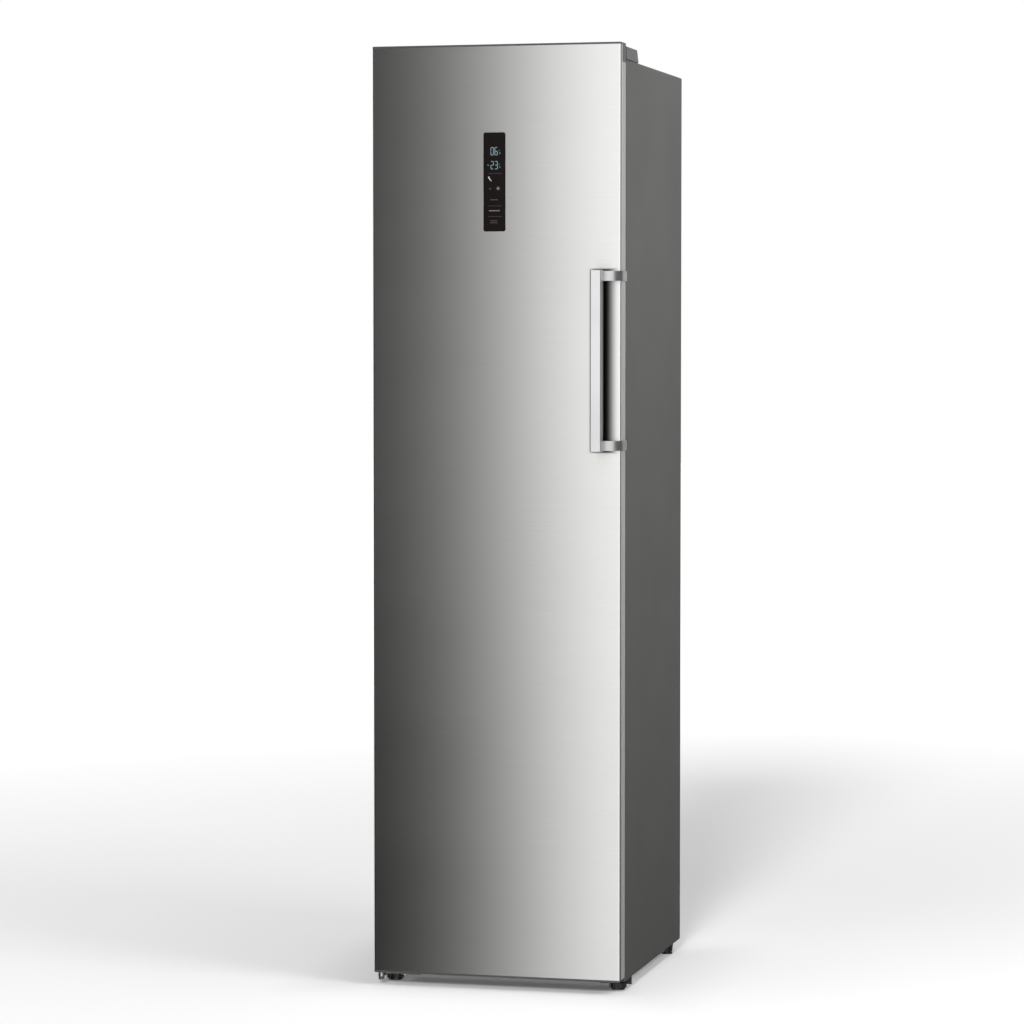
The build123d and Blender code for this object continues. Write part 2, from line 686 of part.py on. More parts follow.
# Mains gland: the grommet that the lead would leave through
gland_radius = 11.0
gland_bore = 4.0
gland_inset = 35.0
gland_x = -half + gland_inset
gland_z = base_top + 40.0
gland_neck = gland_radius - 3.0
gland_flange = 3.0
gland_tail = 6.0             # how far it stands into the machine space
with machine_cover:
    with BuildSketch(front_plane(cabinet_back)):
        with Locations((gland_x, gland_z)):
            Circle(gland_neck + seat_gap)
    extrude(amount=cover_sheet, mode=Mode.SUBTRACT)
with BuildPart() as mains_gland:
    with BuildSketch(front_plane(grille_y - gland_tail)):
        with Locations((gland_x, gland_z)):
            Circle(gland_neck)
            Circle(gland_bore, mode=Mode.SUBTRACT)
    extrude(amount=-(cover_sheet + gland_tail))
    with BuildSketch(front_plane(grille_y - gland_flange)):
        with Locations((gland_x, gland_z)):
            Circle(gland_radius)
            Circle(gland_bore, mode=Mode.SUBTRACT)
    extrude(amount=-(gland_flange - seat_gap))

# ================================================================== front rail, feet
rail_sheet = 2.0
rail_depth = 66.0
rail_start = cabinet_front + 3.0
rail_lip = 10.0
rail_drop = 17.0
pad_inset = 66.0             # the rail's deeper ends
hinge_plate = 4.0
hinge_arm_half = 7.0
knob_radius = 17.5
knob_inset = 3.0             # the base inside the knob
knob_base = 4.0
knob_top = 14.0
knob_ease = 1.0
knob_flutes = 14
flute_radius = 2.4
flute_offset = 1.0           # the flutes' centres outside the knob
stem_rise = 30.0             # a foot's stem above the cabinet's underside
rear_foot_radius = 12.0
rear_foot_base = 3.0
rear_foot_round = 1.2
rear_nut_radius = 7.5
rear_nut_height = 5.0
screw_reach = 38.0           # the lower screws from the hinge axis
screw_rows = (12.0, 50.0)    # and behind the cabinet's front
lower_screws = [(hinge_x + screw_reach, cabinet_front + row) for row in screw_rows]

# Front rail: a folded sheet under the cabinet's front edge, with an apron for the gasket
with BuildPart() as front_rail:
    rail_top = cabinet_lift
    rail_half = half - shell_sheet
    block((-rail_half, rail_half), (rail_start, cabinet_front + rail_depth),
          (rail_top - rail_sheet, rail_top))
    block((-rail_half, rail_half),
          (cabinet_front + rail_depth - rail_sheet, cabinet_front + rail_depth),
          (rail_top - rail_lip, rail_top))
    for side in (-1, 1):
        near, far = side * (half - pad_inset), side * rail_half
        block((min(near, far), max(near, far)),
              (cabinet_front + rail_depth - rail_sheet, cabinet_front + rail_depth),
              (rail_top - rail_drop, rail_top))
    # the apron in front of the insulation, below the liner
    block((-half + shell_flange + seat_gap, half - shell_flange - seat_gap),
          (cabinet_front, cabinet_front + liner_wall),
          (rail_top - rail_sheet, inner_floor - liner_wall - 2 * seat_gap))
    block((-half + shell_flange + seat_gap, half - shell_flange - seat_gap),
          (cabinet_front, rail_start),
          (rail_top - rail_sheet, rail_top))
    for side in (-1, 1):
        rod(side * front_foot_x, front_foot_y, (rail_top - rail_sheet - 1, rail_top + 1),
            foot_stem_radius + screw_clearance, Mode.SUBTRACT)
    for x, y in lower_screws:
        rod(x, y, (rail_top - rail_sheet - 1, rail_top + 1), screw_radius + screw_clearance,
            Mode.SUBTRACT)


def front_foot(side):
    """A levelling foot: fluted knob on a round base, with a stem up through the rail."""
    x = side * front_foot_x
    with BuildPart() as foot:
        rod(x, front_foot_y, (0, knob_base), knob_radius - knob_inset)
        chamfer(edges().group_by(Axis.Z)[0], knob_ease)
        with BuildSketch(level(knob_base)):
            with Locations((x, front_foot_y)):
                Circle(knob_radius)
                with PolarLocations(knob_radius + flute_offset, knob_flutes):
                    Circle(flute_radius, mode=Mode.SUBTRACT)
        extrude(amount=knob_top - knob_base)
        rod(x, front_foot_y, (knob_top, cabinet_lift + stem_rise), foot_stem_radius)
    return foot.part


def rear_foot(side):
    """A levelling foot: a low round base with a hexagon, and a stem up through the base plate."""
    x = side * rear_foot_x
    with BuildPart() as foot:
        rod(x, rear_foot_y, (0, rear_foot_base), rear_foot_radius)
        fillet(edges().group_by(Axis.Z)[-1], rear_foot_round)
        with BuildSketch(level(rear_foot_base)):
            with Locations((x, rear_foot_y)):
                RegularPolygon(rear_nut_radius, 6)
        extrude(amount=rear_nut_height)
        rod(x, rear_foot_y, (rear_foot_base + rear_nut_height, cabinet_lift + stem_rise),
            foot_stem_radius)
    return foot.part


feet = {"front_foot_left": front_foot(-1), "front_foot_right": front_foot(1),
        "rear_foot_left": rear_foot(-1), "rear_foot_right": rear_foot(1)}

# Rear brackets: black moulded legs behind the rear feet, under the base plate
leg_width = 16.0
leg_top = cabinet_lift - seat_gap
leg_tab = rear_foot_y + 10.0             # front of the tab under the base plate
leg_tab_low = cabinet_lift - 4.0
leg_heel = rear_foot_y + rear_foot_radius + 2.0
leg_toe = 5.0
leg_sole = 2.0               # floor to the leg's underside
leg_sweep = 26.0             # the curve up to the back
with BuildPart() as rear_brackets:
    for side in (-1, 1):
        with BuildSketch(side_plane(side * rear_foot_x - leg_width / 2)):
            with BuildLine():
                Polyline((leg_heel + leg_sweep, leg_top), (leg_tab, leg_top),
                         (leg_tab, leg_tab_low), (leg_heel, leg_tab_low))
                Line((leg_heel, leg_tab_low), (leg_heel, leg_sole))
                Line((leg_heel, leg_sole), (leg_heel + leg_toe, leg_sole))
                RadiusArc((leg_heel + leg_toe, leg_sole), (leg_heel + leg_sweep, leg_top),
                          leg_sweep)
            make_face()
        extrude(amount=leg_width)

for carrier in (machine_panel, cabinet_insulation):
    with carrier:
        for side in (-1, 1):
            rod(side * front_foot_x, front_foot_y,
                (cabinet_lift - 1, cabinet_lift + stem_rise + 2),
                foot_stem_radius + screw_clearance, Mode.SUBTRACT)

# ================================================================== hinges and top
arm_sheet = 3.0
pad_edge = 3.0               # the lower plate from the cabinet's side
pad_reach = 47.0             # and past the hinge axis
pad_rows = (5.0, 58.0)       # its front and back edges behind the cabinet's front
hinge_pad_x = (-half + pad_edge, hinge_x + pad_reach)
hinge_pad_y = (cabinet_front + pad_rows[0], cabinet_front + pad_rows[1])
pin_tail = 8.0               # the lower pin below its plate
pin_nut = 6.0
pin_collar = hinge_arm_half - 1.0
pin_end_gap = 2.0            # a pin's end to the end of its bush
pocket_floor = cabinet_height + 11.0     # floor of the recess in the door's top cap
arm_low = pocket_floor + 2.0
arm_high = arm_low + arm_sheet
upper_screw_places = ((12.0, 26.0), (12.0, 60.0), (38.0, 43.0))   # from the axis, from the front
upper_screws = [(hinge_x + across, cabinet_front + back) for across, back in upper_screw_places]
upper_pad_right = hinge_x + 48.0
upper_pad_back = cabinet_front + 72.0
riser_right = hinge_x + 34.0
riser_front = cabinet_front + 9.0

# Lower hinge: a plate under the rail with an arm under the door and a pin up into it
with BuildPart() as lower_hinge:
    plate_top = cabinet_lift - rail_sheet
    plate_low = plate_top - hinge_plate
    block(hinge_pad_x, hinge_pad_y, (plate_low, plate_top))
    block((hinge_x - hinge_arm_half, hinge_x + hinge_arm_half), (hinge_y, hinge_pad_y[0] + 1),
          (plate_low, plate_top))
    rod(hinge_x, hinge_y, (plate_low, plate_top), hinge_arm_half)
    rod(hinge_x, hinge_y, (plate_low - pin_tail, door_lift + bush_depth - pin_end_gap),
        hinge_pin_radius)
    rod(hinge_x, hinge_y, (plate_top, door_lift - seat_gap), pin_collar)
    with BuildSketch(level(plate_low - pin_nut)):
        with Locations((hinge_x, hinge_y)):
            RegularPolygon(hinge_arm_half, 6)
    extrude(amount=pin_nut)
    rod(-front_foot_x, front_foot_y, (plate_low - 1, plate_top + 1),
        foot_stem_radius + screw_clearance, Mode.SUBTRACT)
    for x, y in lower_screws:
        rod(x, y, (plate_low - 1, plate_top + 1), screw_radius + screw_clearance, Mode.SUBTRACT)

# Upper hinge: a joggled plate from the cabinet's top into the recess in the door's cap
with BuildPart() as upper_hinge:
    block((hinge_x - hinge_arm_half, upper_pad_right), (riser_front, upper_pad_back),
          (cabinet_height, cabinet_height + arm_sheet))
    block((hinge_x - hinge_arm_half, riser_right), (riser_front, riser_front + arm_sheet),
          (cabinet_height, arm_high))
    with BuildSketch(level(arm_low)):
        with BuildLine():
            Polyline((hinge_x + hinge_arm_half, hinge_y),
                     (hinge_x + hinge_arm_half, cabinet_front - 2),
                     (riser_right, riser_front + arm_sheet),
                     (hinge_x - hinge_arm_half, riser_front + arm_sheet),
                     (hinge_x - hinge_arm_half, hinge_y))
            ThreePointArc((hinge_x - hinge_arm_half, hinge_y),
                          (hinge_x, hinge_y - hinge_arm_half),
                          (hinge_x + hinge_arm_half, hinge_y))
        make_face()
    extrude(amount=arm_sheet)
    rod(hinge_x, hinge_y, (pocket_floor - bush_depth + pin_end_gap, arm_high + 1),
        hinge_pin_radius)
    for x, y in upper_screws:
        rod(x, y, (cabinet_height - 1, cabinet_height + arm_sheet + 1),
            screw_radius + screw_clearance, Mode.SUBTRACT)

# Hinge screws: pan heads below the lower plate and above the upper one
screw_grip = 12.0
with BuildPart() as hinge_screws:
    for x, y in lower_screws:
        rod(x, y, (plate_low, cabinet_lift - seat_gap), screw_radius)
        rod(x, y, (plate_low - screw_head_height, plate_low), screw_head_radius)
    for x, y in upper_screws:
        head = cabinet_height + arm_sheet
        rod(x, y, (cabinet_height - screw_grip, head), screw_radius)
        rod(x, y, (head, head + screw_head_height), screw_head_radius)
for carrier in (outer_shell, cabinet_insulation):
    with carrier:
        for x, y in upper_screws:
            rod(x, y, (cabinet_height - screw_grip - 1, cabinet_height + 1),
                screw_radius + screw_clearance, Mode.SUBTRACT)

# Top cover: the moulded housing over the hinge and the control board, sloped at the back
top_cover_height = 24.7
top_cover_depth = 108.5
top_cover_slope = 14.0
top_cover_wall = 2.5
top_rib_spacing = 120.0
top_rib_height = 3.0
top_cover_round = 2.0
mouth_room = 3.0             # above the hinge arm
top_cover_front = cabinet_front + 2.0
with BuildPart() as top_cover:
    cover_z = cabinet_height + top_cover_height
    with BuildSketch(side_plane(-half)):
        with BuildLine():
            Polyline((top_cover_front, cabinet_height), (top_cover_front, cover_z),
                     (top_cover_front + top_cover_depth - top_cover_slope, cover_z),
                     (top_cover_front + top_cover_depth, cabinet_height),
                     (top_cover_front, cabinet_height))
        make_face()
    extrude(amount=width)
    fillet(edges().group_by(Axis.Z)[-1], top_cover_round)
    with BuildSketch(side_plane(-half + top_cover_wall)):
        with BuildLine():
            inner_start = top_cover_front + top_cover_wall
            inner_end = top_cover_front + top_cover_depth - top_cover_wall
            Polyline((inner_start, cabinet_height), (inner_start, cover_z - top_cover_wall),
                     (inner_end - top_cover_slope, cover_z - top_cover_wall),
                     (inner_end, cabinet_height), (inner_start, cabinet_height))
        make_face()
    extrude(amount=width - 2 * top_cover_wall, mode=Mode.SUBTRACT)
    # mouth for the hinge arm
    block((hinge_x - hinge_arm_half - 1, riser_right + 2), (top_cover_front - 1, riser_front + 1),
          (cabinet_height, arm_high + mouth_room), Mode.SUBTRACT)
    # ribs across the inside
    for number in (-1, 0, 1):
        rib_x = number * top_rib_spacing
        block((rib_x - 1, rib_x + 1), (inner_start, inner_end - top_cover_slope),
              (cover_z - top_cover_wall - top_rib_height, cover_z - top_cover_wall))

# Control board: a circuit board on feet under the top cover, with its larger parts
board_sheet = 1.6
board_lift = 3.0
board_x = (-90.0, 70.0)
board_rows = (22.0, 84.0)    # its front and back edges behind the cabinet's front
board_y = (cabinet_front + board_rows[0], cabinet_front + board_rows[1])
board_foot_inset = (6.0, 5.0)
board_foot_radius = 2.5
capacitor_x = (-36.0, -18.0, 52.0)
capacitor_y = board_y[0] + 44.0
capacitor_height = 13.0
capacitor_radius = 5.0
# transformer, two relays, two connectors and a chip: across, behind the front edge, height
board_parts = (((-80, -52), (6, 36), 14), ((-44, -28), (8, 24), 11), ((-22, -6), (8, 24), 11),
               ((0, 34), (6, 12), 9), ((38, 64), (6, 12), 9), ((6, 26), (30, 50), 3))
with BuildPart() as control_board:
    board_low = cabinet_height + board_lift
    board_top = board_low + board_sheet
    block(board_x, board_y, (board_low, board_top))
    for x in (board_x[0] + board_foot_inset[0], board_x[1] - board_foot_inset[0]):
        for y in (board_y[0] + board_foot_inset[1], board_y[1] - board_foot_inset[1]):
            rod(x, y, (cabinet_height, board_low), board_foot_radius)
    for across, along, tall in board_parts:
        block(across, (board_y[0] + along[0], board_y[0] + along[1]), (board_top, board_top + tall))
    for x in capacitor_x:
        rod(x, capacitor_y, (board_top, board_top + capacitor_height), capacitor_radius)

# Door sensor on the cabinet's top, and its magnet in the door's cap
sensor_x = 120.0
sensor_size = (32.0, 10.0, 9.0)
with BuildPart() as door_sensor:
    block((sensor_x - sensor_size[0] / 2, sensor_x + sensor_size[0] / 2),
          (top_cover_front + top_cover_wall + seat_gap,
           top_cover_front + top_cover_wall + seat_gap + sensor_size[1]),
          (cabinet_height, cabinet_height + sensor_size[2]))

# Interior lamp: a strip of lights on the ceiling behind a clear lens
lamp_length = 110.0
lamp_depth = 30.0
lamp_drop = 9.0
lamp_y = drawer_front + 34.0
lamp_board_length = 98.0
lamp_board_depth = 16.0
led_count = 6
led_pitch = 16.0
led_size = 4.0
led_height = 1.2
lens_corner = 8.0
lens_round = 3.0
lens_wall = 2.0
with BuildPart() as lamp_board:
    block((-lamp_board_length / 2, lamp_board_length / 2),
          (lamp_y - lamp_board_depth / 2, lamp_y + lamp_board_depth / 2),
          (inner_top - board_sheet, inner_top))
    for number in range(led_count):
        led_x = (number - (led_count - 1) / 2) * led_pitch
        block((led_x - led_size / 2, led_x + led_size / 2),
              (lamp_y - led_size / 2, lamp_y + led_size / 2),
              (inner_top - board_sheet - led_height, inner_top - board_sheet))
with BuildPart() as lamp_lens:
    with BuildSketch(level(inner_top)):
        with Locations((0, lamp_y)):
            RectangleRounded(lamp_length, lamp_depth, lens_corner)
    extrude(amount=-lamp_drop)
    fillet(edges().group_by(Axis.Z)[0], lens_round)
    with BuildSketch(level(inner_top)):
        with Locations((0, lamp_y)):
            RectangleRounded(lamp_length - 2 * lens_wall, lamp_depth - 2 * lens_wall,
                             lens_corner - lens_wall)
    extrude(amount=-(lamp_drop - lens_wall), mode=Mode.SUBTRACT)

# ================================================================== drawers
drawer_height = pitch - drawer_headroom
drawer_taper = 6.0
drawer_corner = 14.0
front_thickness = 4.0
front_corner = 6.0
front_lap = 1.0              # the tub starts inside its front
grip_width = 120.0
grip_drop = 20.0
drawer_half = inner_half - drawer_side_gap


def freezer_drawer(number):
    """A clear moulded tub on the shelf below it, with a thicker front and a finger grip."""
    base = shelf_level(number - 1) + seat_gap
    rim = base + drawer_height
    back = shelf_back(number - 1)
    with BuildPart() as tub:
        for inset, floor_z, mode in ((0, base, Mode.ADD), (drawer_wall, base + drawer_wall,
                                                           Mode.SUBTRACT)):
            front, rear = drawer_front + front_lap + inset, back - inset
            for z, taper in ((floor_z, drawer_taper), (rim, 0)):
                with BuildSketch(level(z)):
                    with Locations((0, (front + rear - taper) / 2)):
                        RectangleRounded(2 * (drawer_half - inset - taper),
                                         rear - taper - front, drawer_corner - inset)
            loft(mode=mode)
        with BuildSketch(front_plane(drawer_front)):
            with Locations((0, (base + rim) / 2)):
                RectangleRounded(2 * drawer_half, drawer_height, front_corner)
        extrude(amount=-front_thickness)
        with BuildSketch(front_plane(drawer_front - 1)):
            with Locations((0, rim)):
                SlotOverall(grip_width, 2 * grip_drop)
        extrude(amount=-(front_thickness + drawer_corner), mode=Mode.SUBTRACT)
    return tub.part


drawers = {f"drawer_{number}": freezer_drawer(number) for number in range(1, compartments + 1)}

# ================================================================== door
skin_sheet = 1.0
skin_corner = 3.5
skin_return = 8.0            # how far the steel turns back along each side
cap_lip = 4.0                # of the caps, seen above and below the steel
foot_lip = 5.0
cap_skirt = 38.0
base_skirt = 24.0
cap_side = 4.0               # thickness of the side trims
trim_tongue = 5.0
lip_thickness = 3.5
recess_width = 60.0
cap_round = 1.5              # along the cap's front edge
cap_corner = 4.0             # the door's lower corners
magnet_depth = 5.0
magnet_height = 12.0
magnet_short = 6.0           # each end of the magnet inside the sensor's
steel_low = door_lift + foot_lip
steel_high = height - cap_lip
trim_high = height - cap_skirt
foam_low = door_lift + base_skirt
skin_inner = half - skin_sheet
trim_inner = half - cap_side
trim_front = door_front + skin_return
bush_hole = bush_radius + running_gap


def door_outline(inset=0.0):
    """The door from above, drawn in by an amount, with its front corners rounded."""
    deep = door_thickness - inset
    with Locations((0, door_front + inset + deep / 2)):
        Rectangle(width - 2 * inset, deep)
    fillet(vertices().group_by(Axis.Y)[0], skin_corner - inset)


# Door skin: one sheet of brushed steel, its sides turned back round the corners
with BuildPart() as door_skin:
    with BuildSketch(level(steel_low)):
        door_outline()
    extrude(amount=steel_high - steel_low)
    with BuildSketch(level(steel_low)):
        door_outline(skin_sheet)
    extrude(amount=steel_high - steel_low, mode=Mode.SUBTRACT)
    block((-half - 1, half + 1), (trim_front, door_back + 1), (steel_low, steel_high),
          Mode.SUBTRACT)
    # notch that lets the hinge arm turn
    block((-half - 1, -skin_inner + 0.1), (door_front + lip_thickness, trim_front),
          (pocket_floor, steel_high), Mode.SUBTRACT)

# Side trims: light grey profiles down both sides, tongued behind the steel
with BuildPart() as door_side_trims:
    for side in (-1, 1):
        outer, inner = side * half, side * trim_inner
        block((min(outer, inner), max(outer, inner)), (trim_front, door_back),
              (steel_low, trim_high))
        tongue = side * (skin_inner - seat_gap)
        block((min(tongue, inner), max(tongue, inner)), (trim_front - trim_tongue, trim_front),
              (steel_low, trim_high))

# Top cap: dark moulding with a recess at the left for the hinge arm
with BuildPart() as door_top_cap:
    with BuildSketch(level(steel_high)):
        door_outline()
    extrude(amount=cap_lip)
    fillet(edges().group_by(Axis.Z)[-1].filter_by(Axis.X).sort_by(Axis.Y)[0], cap_round)
    with BuildSketch(level(trim_high)):
        door_outline(skin_sheet + seat_gap)
    extrude(amount=steel_high - trim_high)
    block((-half, half), (trim_front, door_back), (trim_high, steel_high))
    block((-half - 1, -half + recess_width), (door_front + lip_thickness, door_back + 1),
          (pocket_floor, height + 1), Mode.SUBTRACT)
    rod(hinge_x, hinge_y, (pocket_floor - bush_depth, pocket_floor), bush_hole, Mode.SUBTRACT)
    magnet_half = sensor_size[0] / 2 - magnet_short
    magnet_low = trim_high + 14
    block((sensor_x - magnet_half - seat_gap, sensor_x + magnet_half + seat_gap),
          (door_back - magnet_depth - seat_gap, door_back),
          (magnet_low, magnet_low + magnet_height), Mode.SUBTRACT)

with BuildPart() as sensor_magnet:
    block((sensor_x - magnet_half, sensor_x + magnet_half), (door_back - magnet_depth, door_back),
          (magnet_low + seat_gap, magnet_low + magnet_height - seat_gap))

# Bottom cap: dark moulding with rounded lower corners
with BuildPart() as door_bottom_cap:
    with BuildSketch(level(door_lift)):
        door_outline()
    extrude(amount=foot_lip)
    fillet(edges().filter_by(Axis.Y).group_by(Axis.Z)[0], cap_corner)
    block((-trim_inner + seat_gap, trim_inner - seat_gap),
          (door_front + skin_sheet + seat_gap, door_back), (steel_low, foam_low))
    rod(hinge_x, hinge_y, (door_lift, door_lift + bush_depth), bush_hole, Mode.SUBTRACT)

# Hinge bushes: flanged plastic sleeves in both caps
bush_flange = 1.5
bush_flange_radius = bush_radius + 2.0
lower_bush = (door_lift + 1, door_lift + bush_depth)
with BuildPart() as hinge_bushes:
    rod(hinge_x, hinge_y, (pocket_floor - bush_depth, pocket_floor), bush_radius)
    rod(hinge_x, hinge_y, (pocket_floor, pocket_floor + bush_flange), bush_flange_radius)
    rod(hinge_x, hinge_y, lower_bush, bush_radius)
    for limits in ((pocket_floor - bush_depth, pocket_floor + bush_flange), lower_bush):
        rod(hinge_x, hinge_y, limits, hinge_pin_radius + running_gap, Mode.SUBTRACT)

# Door liner: white inner sheet with a raised field that reaches into the cabinet
field_margin = 13.0          # the field's sides to the liner's, in plan
field_clearance = 16.0       # the field's ends to the liner's
field_half = inner_half - field_margin
field_low = inner_floor + field_clearance
field_high = inner_top - field_clearance
field_reach = 13.0
field_wall = 6.0             # slope of the field's sides in the foam
groove_count = 5
groove_width = 12.0
groove_margin = 30.0
field_corner = 22.0
field_round = 5.0
with BuildPart() as door_liner:
    block((-trim_inner + seat_gap, trim_inner - seat_gap), (door_back - liner_wall, door_back),
          (foam_low, trim_high))
    with BuildSketch(front_plane(door_back)):
        with Locations((0, (field_low + field_high) / 2)):
            RectangleRounded(2 * field_half, field_high - field_low, field_corner)
    extrude(amount=-field_reach)
    fillet(faces().sort_by(Axis.Y)[-1].edges(), field_round)
    with BuildSketch(front_plane(door_back - liner_wall)):
        with Locations((0, (field_low + field_high) / 2)):
            RectangleRounded(2 * (field_half - field_wall),
                             field_high - field_low - 2 * field_wall, field_corner - field_wall)
    extrude(amount=-field_reach, mode=Mode.SUBTRACT)
    # pressed grooves across the field
    for number in range(1, groove_count + 1):
        groove_z = field_low + number * (field_high - field_low) / (groove_count + 1)
        with BuildSketch(front_plane(door_back + field_reach)):
            with Locations((0, groove_z)):
                SlotOverall(2 * (field_half - groove_margin), groove_width)
        extrude(amount=liner_wall / 2, mode=Mode.SUBTRACT)

# Door insulation, up to the steel, the caps and the liner
display_width = 44.0
display_height = 191.7
display_x = -2.5
display_drop = 266.6         # top of the door to the middle of the display
display_z = height - display_drop
glass_sheet = 3.0
glass_proud = 0.8
glass_corner = 4.0
housing_wall = 2.0
housing_rim = 4.0
housing_depth = 16.0
housing_back = door_front + skin_sheet + housing_depth
housing_half = display_width / 2 + housing_rim
housing_low = display_z - display_height / 2 - housing_rim
housing_high = display_z + display_height / 2 + housing_rim
foam_round = 2.0
foam_skin = 0.01             # between the foam and the field's front
with BuildPart() as door_insulation:
    block((-trim_inner + seat_gap, trim_inner - seat_gap),
          (door_front + skin_sheet, door_back - liner_wall), (foam_low, trim_high))
    fillet(edges().filter_by(Axis.Z).group_by(Axis.Y)[0], foam_round)
    with BuildSketch(front_plane(door_back - liner_wall)):
        with Locations((0, (field_low + field_high) / 2)):
            RectangleRounded(2 * (field_half - field_wall),
                             field_high - field_low - 2 * field_wall, field_corner - field_wall)
    extrude(amount=-(field_reach - foam_skin))
    block((display_x - housing_half - seat_gap, display_x + housing_half + seat_gap),
          (door_front, housing_back + seat_gap),
          (housing_low - seat_gap, housing_high + seat_gap), Mode.SUBTRACT)

# Gasket: a magnetic seal with a waist, all round the inside of the door
gasket_edge = 13.0           # from the door's sides
gasket_half = half - gasket_edge
gasket_low = door_lift + 14.0
gasket_high = cabinet_height - 7.0
gasket_width = 16.0
gasket_waist = 3.0
gasket_foot = 1.8
gasket_corner = 8.0
gasket_inner_corner = 3.0
gasket_middle = (gasket_low + gasket_high) / 2
with BuildPart() as door_gasket:
    for start, end, inset in ((door_back, door_back + gasket_foot, gasket_waist),
                              (door_back + gasket_foot, cabinet_front - seat_gap, 0)):
        with BuildSketch(front_plane(start)):
            with Locations((0, gasket_middle)):
                RectangleRounded(2 * (gasket_half - inset),
                                 gasket_high - gasket_low - 2 * inset, gasket_corner - inset)
                RectangleRounded(2 * (gasket_half - gasket_width + inset),
                                 gasket_high - gasket_low - 2 * (gasket_width - inset),
                                 gasket_inner_corner, mode=Mode.SUBTRACT)
        extrude(amount=-(end - start))

# Display: glass front, housing in the door and the board between them
glass_play = 0.2             # all round, to the steel
glass_chamfer = 0.4
with door_skin:
    with BuildSketch(front_plane(door_front)):
        with Locations((display_x, display_z)):
            RectangleRounded(display_width + 2 * glass_play, display_height + 2 * glass_play,
                             glass_corner + glass_play)
    extrude(amount=-skin_sheet, mode=Mode.SUBTRACT)
with BuildPart() as display_glass:
    with BuildSketch(front_plane(door_front - glass_proud)):
        with Locations((display_x, display_z)):
            RectangleRounded(display_width, display_height, glass_corner)
    extrude(amount=-glass_sheet)
    chamfer(faces().sort_by(Axis.Y)[0].edges(), glass_chamfer)
with BuildPart() as display_housing:
    glass_back = door_front - glass_proud + glass_sheet
    block((display_x - housing_half, display_x + housing_half),
          (door_front + skin_sheet, housing_back), (housing_low, housing_high))
    block((display_x - housing_half + housing_wall, display_x + housing_half - housing_wall),
          (door_front, housing_back - housing_wall),
          (housing_low + housing_wall, housing_high - housing_wall), Mode.SUBTRACT)
board_front = glass_back + 3.0
board_half = display_width / 2 - 2.0
board_reach = display_height / 2 - 4.0
segment_width = 28.0
light_blocks = ((65, 18), (37, 18), (-6, 36), (-52, 6), (-74, 6))   # above the middle, height
post_x = 15.0
post_z = display_height / 2 - 10
post_radius = 2.0
with BuildPart() as display_board:
    block((display_x - board_half, display_x + board_half),
          (board_front, board_front + board_sheet),
          (display_z - board_reach, display_z + board_reach))
    for rise, tall in light_blocks:
        with Locations((display_x, (glass_back + seat_gap + board_front) / 2, display_z + rise)):
            Box(segment_width, board_front - glass_back - seat_gap, tall)
    for x in (display_x - post_x, display_x + post_x):
        for z in (display_z - post_z, display_z + post_z):
            post_start = board_front + board_sheet
            post_end = housing_back - housing_wall
            with Locations(Location((x, (post_start + post_end) / 2, z), (90, 0, 0))):
                Cylinder(post_radius, post_end - post_start)

# ================================================================== handle
bar_width = 21.0
bar_depth = 27.0
bar_length = 350.0
bar_low = 1061.0
bar_inset = 31.0             # bar to the door's right side
bracket_height = 19.0
bracket_margin = 1.5         # bracket to the bar's end
bracket_plate = 2.5
bar_right = half - bar_inset
bar_left = bar_right - bar_width
bar_back = handle_front + bar_depth
bar_high = bar_low + bar_length
plate_inner = half + seat_gap
plate_outer = plate_inner + bracket_plate
bracket_left = bar_left + 2.0
swing_x = bar_right + 4.0    # where the arm starts to turn round the door's corner
swing_y = door_front + 8.0
bar_bevel = 2.5
bar_round = 1.2
bar_end_chamfer = 0.8

# Handle bar: a rectangular extrusion with eased corners
with BuildPart() as handle_bar:
    with BuildSketch(level(bar_low)):
        with BuildLine():
            Polyline((bar_left + bar_bevel, handle_front), (bar_right, handle_front),
                     (bar_right, bar_back), (bar_left, bar_back),
                     (bar_left, handle_front + bar_bevel), (bar_left + bar_bevel, handle_front))
        make_face()
        fillet(vertices().group_by(Axis.X)[-1], bar_round)
    extrude(amount=bar_length)
    chamfer(edges().group_by(Axis.Z)[-1], bar_end_chamfer)
    chamfer(edges().group_by(Axis.Z)[0], bar_end_chamfer)


def handle_bracket(low):
    """A cast arm behind the bar that sweeps round the door's corner and along its side."""
    face = door_front - seat_gap
    with BuildPart() as bracket:
        with BuildSketch(level(low)):
            with BuildLine():
                Line((bracket_left, face), (bracket_left, bar_back))
                Line((bracket_left, bar_back), (swing_x, bar_back))
                EllipticalCenterArc((swing_x, swing_y), plate_outer - swing_x,
                                    swing_y - bar_back, start_angle=270, arc_size=90)
                Line((plate_outer, swing_y), (plate_outer, door_back))
                Line((plate_outer, door_back), (plate_inner, door_back))
                Line((plate_inner, door_back), (plate_inner, face))
                Line((plate_inner, face), (bracket_left, face))
            make_face()
        extrude(amount=bracket_height)
        for screw_y in handle_screw_y:
            with Locations(Location((plate_outer, screw_y, low + bracket_height / 2), (0, 90, 0))):
                CounterSinkHole(screw_radius + screw_clearance, csk_radius, csk_reach,
                                counter_sink_angle=90)
    return bracket.part


handle_screw_rows = (9.0, 22.0)          # behind the side trim's front
handle_screw_y = [trim_front + row for row in handle_screw_rows]
csk_radius = 3.8
csk_reach = 14.0
screw_sink = 0.1
bracket_lows = (bar_low + bracket_margin, bar_high - bracket_margin - bracket_height)
bracket_lower, bracket_upper = [handle_bracket(low) for low in bracket_lows]

